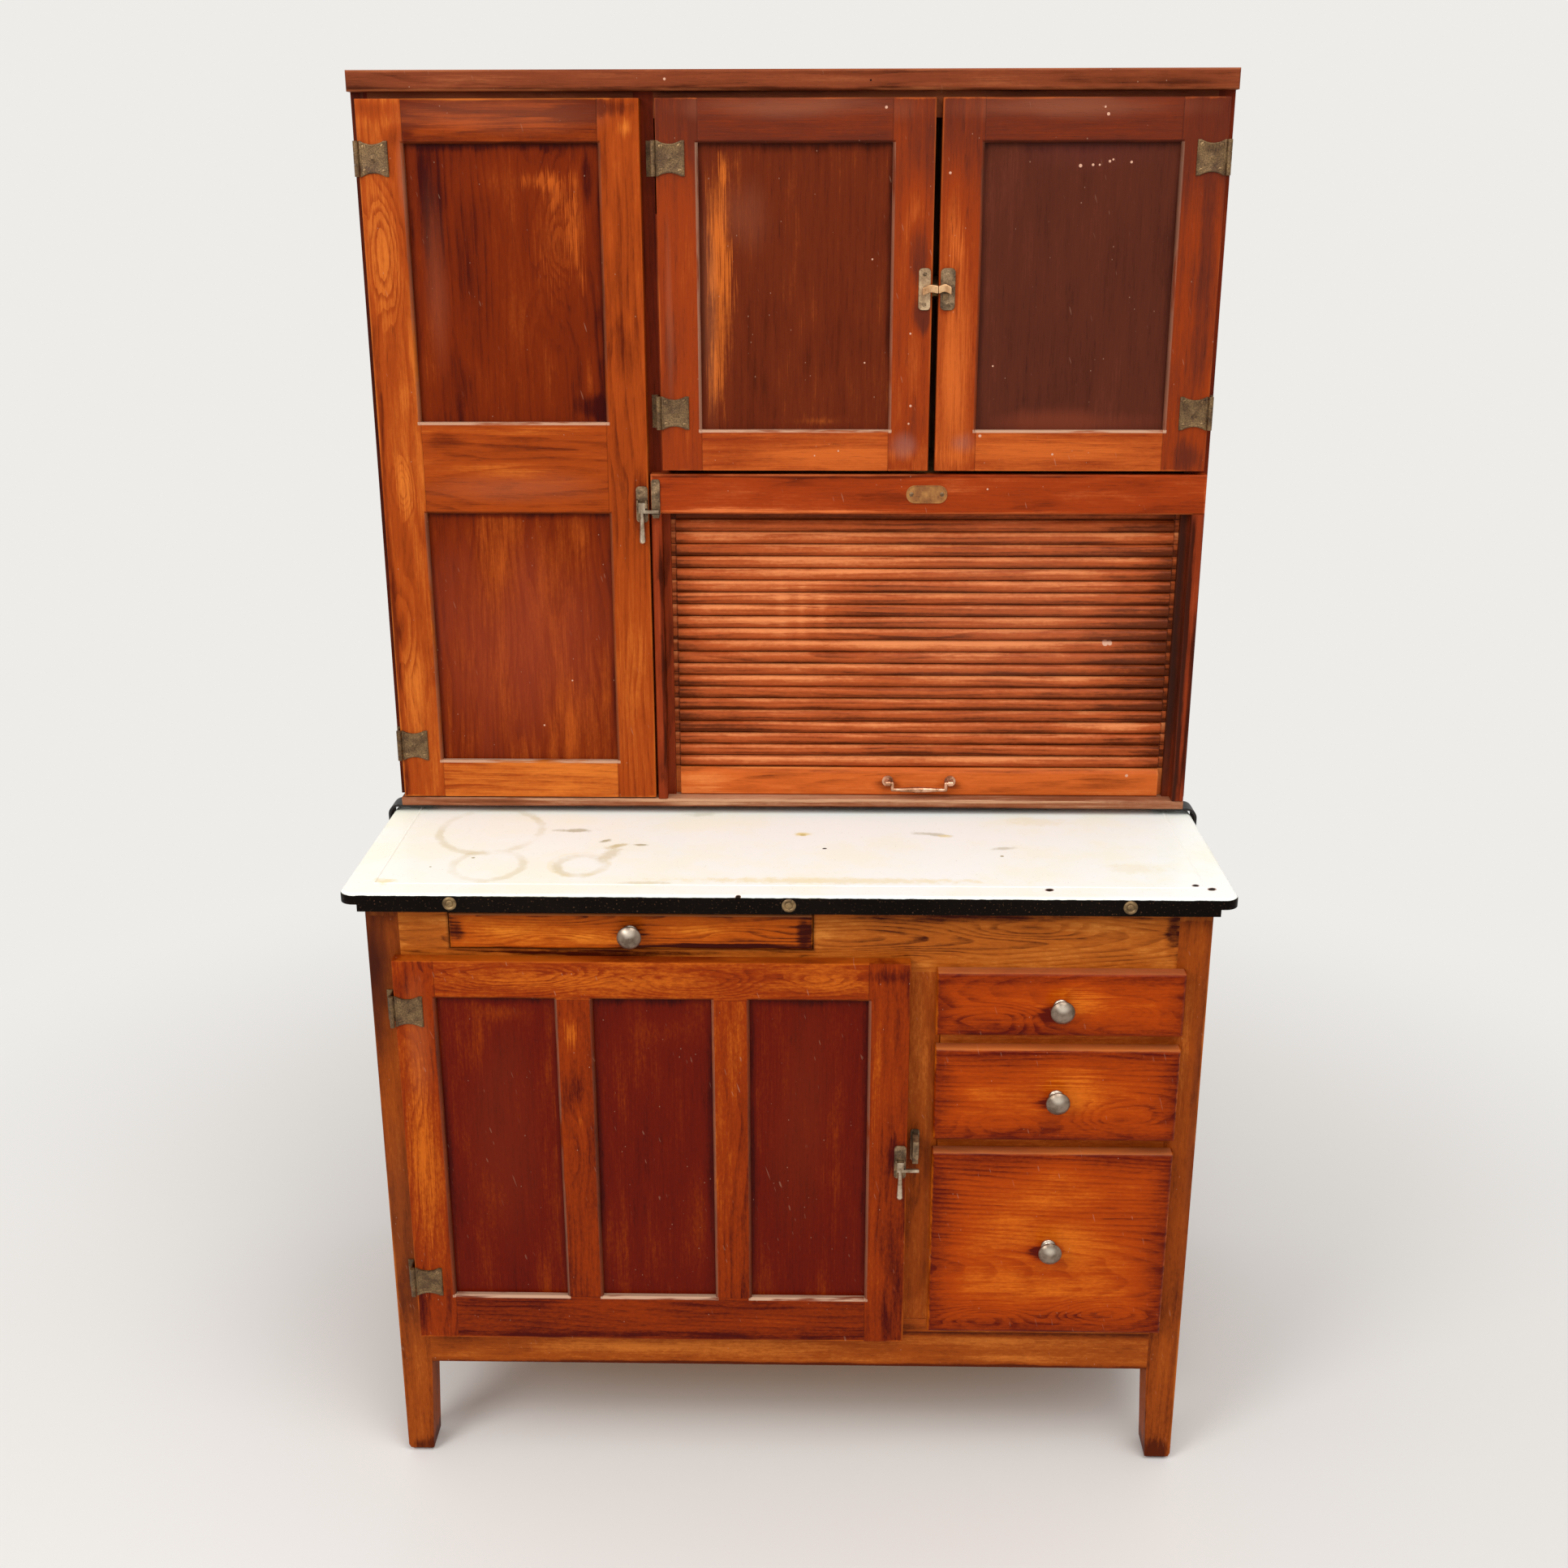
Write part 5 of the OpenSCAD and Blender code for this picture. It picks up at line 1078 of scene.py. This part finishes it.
def half_height(x):
    """Half the height of a hinge plate at x mm from its pivot: a circle of radius HOLLOW
    bites into the middle of each end."""
    return min(LEAF_HALF, HOLLOW_Z - math.sqrt(HOLLOW ** 2 - (x - HOLLOW_X) ** 2))


bpy.ops.object.select_all(action="DESELECT")
bpy.ops.mesh.primitive_cube_add(size=1, location=mm(LEAF_START + LEAF_WIDE / 2, -0.3, 0),
                                scale=mm(LEAF_WIDE, 0.8, 2 * LEAF_HALF))
leaf = fresh("leaf_model")
pick(leaf, lambda a, b: abs(a.x - b.x) > 0.001, "EDGE")
bpy.ops.mesh.subdivide(number_cuts=STRIPS - 1)
bpy.ops.object.mode_set(mode="OBJECT")
for column in range(STRIPS + 1):
    x = LEAF_START + LEAF_WIDE * column / STRIPS
    pick(leaf, lambda co: abs(co.x - x / 1000) < CLOSE, "VERT")
    bpy.ops.transform.resize(value=(1, 1, half_height(x) / LEAF_HALF),
                             center_override=(0, 0, 0))
bpy.ops.object.mode_set(mode="OBJECT")
pick(leaf, lambda c, n: n.y < -0.9)
bpy.ops.mesh.inset(thickness=0.0014, depth=0)
bpy.ops.mesh.inset(thickness=0.0004, depth=-0.0004)
bpy.ops.object.mode_set(mode="OBJECT")
soften = leaf.modifiers.new("soften", "BEVEL")
soften.width, soften.segments, soften.limit_method = 0.0003, 2, "ANGLE"
alone(leaf)
bpy.ops.object.modifier_apply(modifier="soften")
print("leaf has", len(leaf.data.polygons), "faces")

# %% Faces, bosses and screws on every hinge
DOOR_FACE, LEAF_THICK, SUNK = 5.8, 1.5, 0.2
SCREW_SPOTS = ((32.5, 14.6), (32.5, -14.6), (9.5, 13.6), (9.5, -13.6))
DOOR_HINGES = (("tall_door", -524, DOOR_FACE, (924, 1665), 1),
               ("middle_door", -166, DOOR_FACE, (1363, 1665), 1),
               ("right_door", 524, DOOR_FACE, (1363, 1665), -1),
               ("lower_door", -487, DRAWER_FACE, (282, 669.5), 1))
boss = turned("boss_model", [(-0.2, 5), (0.2, 5), (0.5, 3.6), (0.55, 2.2), (0.9, 1.4),
                             (1.0, 0.3)], 24)
for body, x, y, heights, way in DOOR_HINGES:
    front = y - LEAF_THICK
    face = placed(leaf, f"{body}_hinge_faces", [(x, front, z) for z in heights], way < 0)
    fit(face, body, brass, 30)
    spots = [(x + way * 20, front - SUNK, z) for z in heights]
    fit(placed(boss, f"{body}_hinge_bosses", spots), body, brass)
    spots = [(x + way * dx, front - SUNK, z + dz, 30 + 17 * dz + dx) for z in heights
             for dx, dz in SCREW_SPOTS]
    fit(placed(screw, f"{body}_hinge_screws", spots), body, screw_brass)
    print(body, "hinges at", heights)
scrap(leaf)
scrap(boss)

# %% [markdown]
# The catches have plates with a raised rim. One function makes them from a flat square:
# its corners are bevelled round, the sheet is extruded, and an inset sinks its field.

# %% Plates
BEDDED = 0.1


def plate(name, x0, x1, z0, z1, y, corner, thick, rim, body, material, slot):
    """A plate on a face at y, with its field sunk inside a rim; sizes in mm."""
    bpy.ops.object.select_all(action="DESELECT")
    middle = mm((x0 + x1) / 2, y + BEDDED, (z0 + z1) / 2)
    bpy.ops.mesh.primitive_plane_add(size=1, location=middle, rotation=(math.pi / 2, 0, 0))
    bpy.context.object.scale = ((x1 - x0) / 1000, (z1 - z0) / 1000, 1)
    piece = fresh(name)
    pick(piece, lambda co: True, "VERT")
    bpy.ops.mesh.bevel(offset=corner / 1000, segments=6, affect="VERTICES")
    bpy.ops.mesh.select_mode(type="FACE")
    bpy.ops.mesh.select_all(action="SELECT")
    bpy.ops.mesh.extrude_region_move(
        TRANSFORM_OT_translate={"value": (0, -(thick + BEDDED) / 1000, 0)})
    bpy.ops.mesh.inset(thickness=rim / 1000, depth=0)
    bpy.ops.mesh.inset(thickness=0.0003, depth=-thick * 0.4 / 1000)
    bpy.ops.mesh.select_all(action="SELECT")
    bpy.ops.mesh.normals_make_consistent(inside=False)
    bpy.ops.object.mode_set(mode="OBJECT")
    return fit(piece, body, material, 30)


HINGE_FACE, LATCH_FACE, CASE_FACE, STILE_FACE = DOOR_FACE - LEAF_THICK, -281.3, 5.8, -261.7
PLATES = (
    ("left_catch_plate", (157.2, 171.3, 1488.4, 1537.6), HINGE_FACE, (4.2, 0.6, 1.2),
     "middle_door", pale_plate, "hinge_metal"),
    ("right_catch_plate", (184.2, 201.3, 1488.4, 1537.6), HINGE_FACE, (5.2, 0.6, 1.6),
     "right_door", latch_steel, "hinge_metal"),
    ("tall_latch_plate", (-197.1, -182.9, 1225.4, 1270.6), HINGE_FACE, (4.2, 0.5, 1.1),
     "tall_door", latch_steel, "latch_metal"),
    ("tall_keeper_plate", (-177.6, -167.4, 1232.4, 1279.6), HINGE_FACE, (3, 0.5, 0.9),
     "cabinet", latch_steel, "latch_metal"),
    ("lower_latch_plate", (135.4, 149.6, 442.4, 487.6), LATCH_FACE, (4.2, 0.5, 1.1),
     "lower_door", latch_steel, "latch_metal"),
    ("lower_keeper_plate", (156.4, 166.6, 457.4, 500.6), STILE_FACE, (3, 0.5, 0.9),
     "cabinet", latch_steel, "latch_metal"),
    ("name_plate", (147, 199, 1250, 1272.7), CASE_FACE, (10.6, 1.2, 1.2),
     "cabinet", plate_brass, "knob_metal"))
for name, sides, y, form, body, material, slot in PLATES:
    plate(name, *sides, y, *form, body, material, slot)
print(len(PLATES), "plates")

# %% Screws of the plates
CATCH_SCREWS = (
    ("middle_door", "left_catch_screws", [(164.2, 4, 1531, 20), (164.2, 4, 1495, 70)]),
    ("right_door", "right_catch_screws", [(192.7, 4, 1530, 50), (192.7, 4, 1495, -15)]),
    ("tall_door", "tall_latch_screws", [(-190, 4, 1265, 30), (-190, 4, 1231, 100)]),
    ("cabinet", "keeper_screws", [(-172.5, 4, 1274, 10), (-172.5, 4, 1262, 80),
                                  (161.5, -262, 496, 40), (161.5, -262, 462, -30),
                                  (153.5, 5, 1261.3, 30), (192.5, 5, 1261.3, -40)]),
    ("lower_door", "lower_latch_screws", [(142.5, -281.6, 482, 60), (142.5, -281.6, 448, 15)]))
for body, name, spots in CATCH_SCREWS:
    fit(placed(screw, name, spots), body, latch_steel)
scrap(screw)
print(sum(len(spots) for _, _, spots in CATCH_SCREWS), "screws in the plates")

# %% [markdown]
# The catch of the pair of upper doors is a cast tongue with a wave in it, in two halves
# that meet over the gap. Each half begins as a bar that is cut into short lengths, whose
# rings of points are moved up and down, and a subdivision surface rounds it.

# %% The wavy tongue
TONGUE_Y, TONGUE_Z, TONGUE_DEEP, TONGUE_TALL = 0.3, 1513, 7.4, 9.2


def tongue(name, x0, x1, wave, body):
    """One half of the tongue, from x0 to x1; wave is how far each ring of points rises."""
    bpy.ops.object.select_all(action="DESELECT")
    bpy.ops.mesh.primitive_cube_add(size=1, location=mm((x0 + x1) / 2, TONGUE_Y, TONGUE_Z),
                                    scale=mm(x1 - x0, TONGUE_DEEP, TONGUE_TALL))
    piece = fresh(name)
    lengths = len(wave) - 1
    pick(piece, lambda a, b: abs(a.x - b.x) > 0.001, "EDGE")
    bpy.ops.mesh.subdivide(number_cuts=lengths - 1)
    bpy.ops.object.mode_set(mode="OBJECT")
    for i, rise in enumerate(wave):
        place = (x0 + (x1 - x0) * i / lengths) / 1000
        pick(piece, lambda co: abs(co.x - place) < CLOSE, "VERT")
        bpy.ops.transform.translate(value=mm(0, 0, rise))
    bpy.ops.object.mode_set(mode="OBJECT")
    round_off = piece.modifiers.new("round", "SUBSURF")
    round_off.levels = round_off.render_levels = 2
    crease = piece.modifiers.new("edge", "BEVEL")
    crease.width, crease.segments = 0.001, 2
    alone(piece)
    bpy.ops.object.modifier_move_to_index(modifier="edge", index=0)
    bpy.ops.object.modifier_apply(modifier="edge")
    bpy.ops.object.modifier_apply(modifier="round")
    return fit(piece, body, tongue_brass)


tongue("left_tongue", 161.5, 180.95, (-2.2, -1.6, 0.2, 1.2, 1.0, 0.2, -0.4), "middle_door")
tongue("right_tongue", 181.15, 197, (-0.4, 0.4, 1.6, 2.0, 1.2, -0.4, -1.6), "right_door")
print("small pieces fitted")

# %% [markdown]
# Camera and light. The camera stands at eye height, 1.63 metres up and 2.25 metres in
# front of the cabinet's middle, and is tipped down by some 19 degrees. Its lens and turn
# come from fitting the cabinet's corners.

# %% Camera
camera_data = bpy.data.cameras.new("camera")
SENSOR, FOCAL_PIXELS, PICTURE_PIXELS = 36, 2180.9, 1932
EYE, TURNED = (0.03664, -2.24970, 1.62875), (-1.1653, -18.552, -0.0902)
camera_data.sensor_width = SENSOR
camera_data.lens = SENSOR * FOCAL_PIXELS / PICTURE_PIXELS
camera_data.clip_start = 0.05
yaw, pitch, roll = (math.radians(angle) for angle in TURNED)
forward = Vector((math.sin(yaw) * math.cos(pitch), math.cos(yaw) * math.cos(pitch),
                  math.sin(pitch)))
level = forward.cross(Vector((0, 0, 1))).normalized()
above = level.cross(forward)
right = level * math.cos(roll) + above * math.sin(roll)
up = right.cross(forward)
turn = Matrix((right, up, -forward)).transposed().to_4x4()
camera = bpy.data.objects.new("camera", camera_data)
camera.matrix_world = Matrix.Translation(EYE) @ turn
bpy.context.scene.collection.objects.link(camera)
bpy.context.scene.camera = camera
print("camera at", EYE, "lens", round(camera_data.lens, 2), "mm")

# %% [markdown]
# The floor is a large pale sheet. Far from the cabinet it melts into the world's own
# colour, for the camera only, so no horizon shows, while near the cabinet it is plain
# paint that takes the shadow. The world is pale where the camera or a mirror-like
# surface looks at it, and a softer light for everything else.

# %% Floor and world
BACKDROP, MELT_FROM, MELT_TO = hue(238, 236, 233), 0.55, 2.1
bpy.ops.object.select_all(action="DESELECT")
bpy.ops.mesh.primitive_plane_add(size=16, location=(0, 1.2, -0.0005))
floor = fresh("floor")
pale = Finish("pale floor")
painted = pale.finish(hue(236, 234, 231), 0.85, Specular_IOR_Level=0.2)
far = (pale.x * pale.x + pale.y * pale.y).root().ease(MELT_FROM, MELT_TO)
path = pale.add("LightPath")
glow = pale.add("Emission", sockets={"Color": BACKDROP, "Strength": 1.0})
melt = pale.add("MixShader", sockets={0: far * Flow(pale, path.outputs["Is Camera Ray"]),
                                      1: pale.shader.outputs[0], 2: glow.outputs[0]})
output = next(node for node in pale.tree.nodes if node.bl_idname == "ShaderNodeOutputMaterial")
pale.tree.links.new(melt.outputs[0], output.inputs[0])
floor.data.materials.append(painted)
print("floor melts into the backdrop from", MELT_FROM, "to", MELT_TO, "m out")

# %% The world
world = bpy.data.worlds.new("studio")
bpy.context.scene.world = world
world.use_nodes = True
nodes, links = world.node_tree.nodes, world.node_tree.links
nodes.clear()
output = nodes.new("ShaderNodeOutputWorld")
seen, ambient, choose, path, either = (
    nodes.new("ShaderNode" + kind)
    for kind in ("Background", "Background", "MixShader", "LightPath", "Math"))
either.operation = "MAXIMUM"
seen.inputs[0].default_value, seen.inputs[1].default_value = BACKDROP, 1.0
ambient.inputs[0].default_value, ambient.inputs[1].default_value = (1, 0.985, 0.965, 1), 0.6
links.new(path.outputs["Is Camera Ray"], either.inputs[0])
links.new(path.outputs["Is Glossy Ray"], either.inputs[1])
links.new(either.outputs[0], choose.inputs[0])
links.new(ambient.outputs[0], choose.inputs[1])
links.new(seen.outputs[0], choose.inputs[2])
links.new(choose.outputs[0], output.inputs[0])
print("world ready")

# %% [markdown]
# Two large round lamps do the work of a window at the left and of an open sky above.
# Their size is what makes the shadows soft.

# %% Lamps
def lamp(name, place, aim, size, power):
    """A round lamp of a size in metres and a power in watts, turned towards aim."""
    data = bpy.data.lights.new(name, "AREA")
    data.shape, data.size, data.energy = "DISK", size, power
    light = bpy.data.objects.new(name, data)
    look = (Vector(aim) - Vector(place)).to_track_quat("-Z", "Y")
    light.matrix_world = Matrix.Translation(place) @ look.to_matrix().to_4x4()
    bpy.context.scene.collection.objects.link(light)


lamp("window", (-2.2, -2.6, 2.9), (0, 0, 1.0), 1.8, 60)
lamp("sky", (0.8, -1.6, 3.6), (0, 0, 0.9), 2.2, 45)
bpy.context.scene.view_settings.view_transform = "Standard"
print("two lamps and the world light the cabinet")
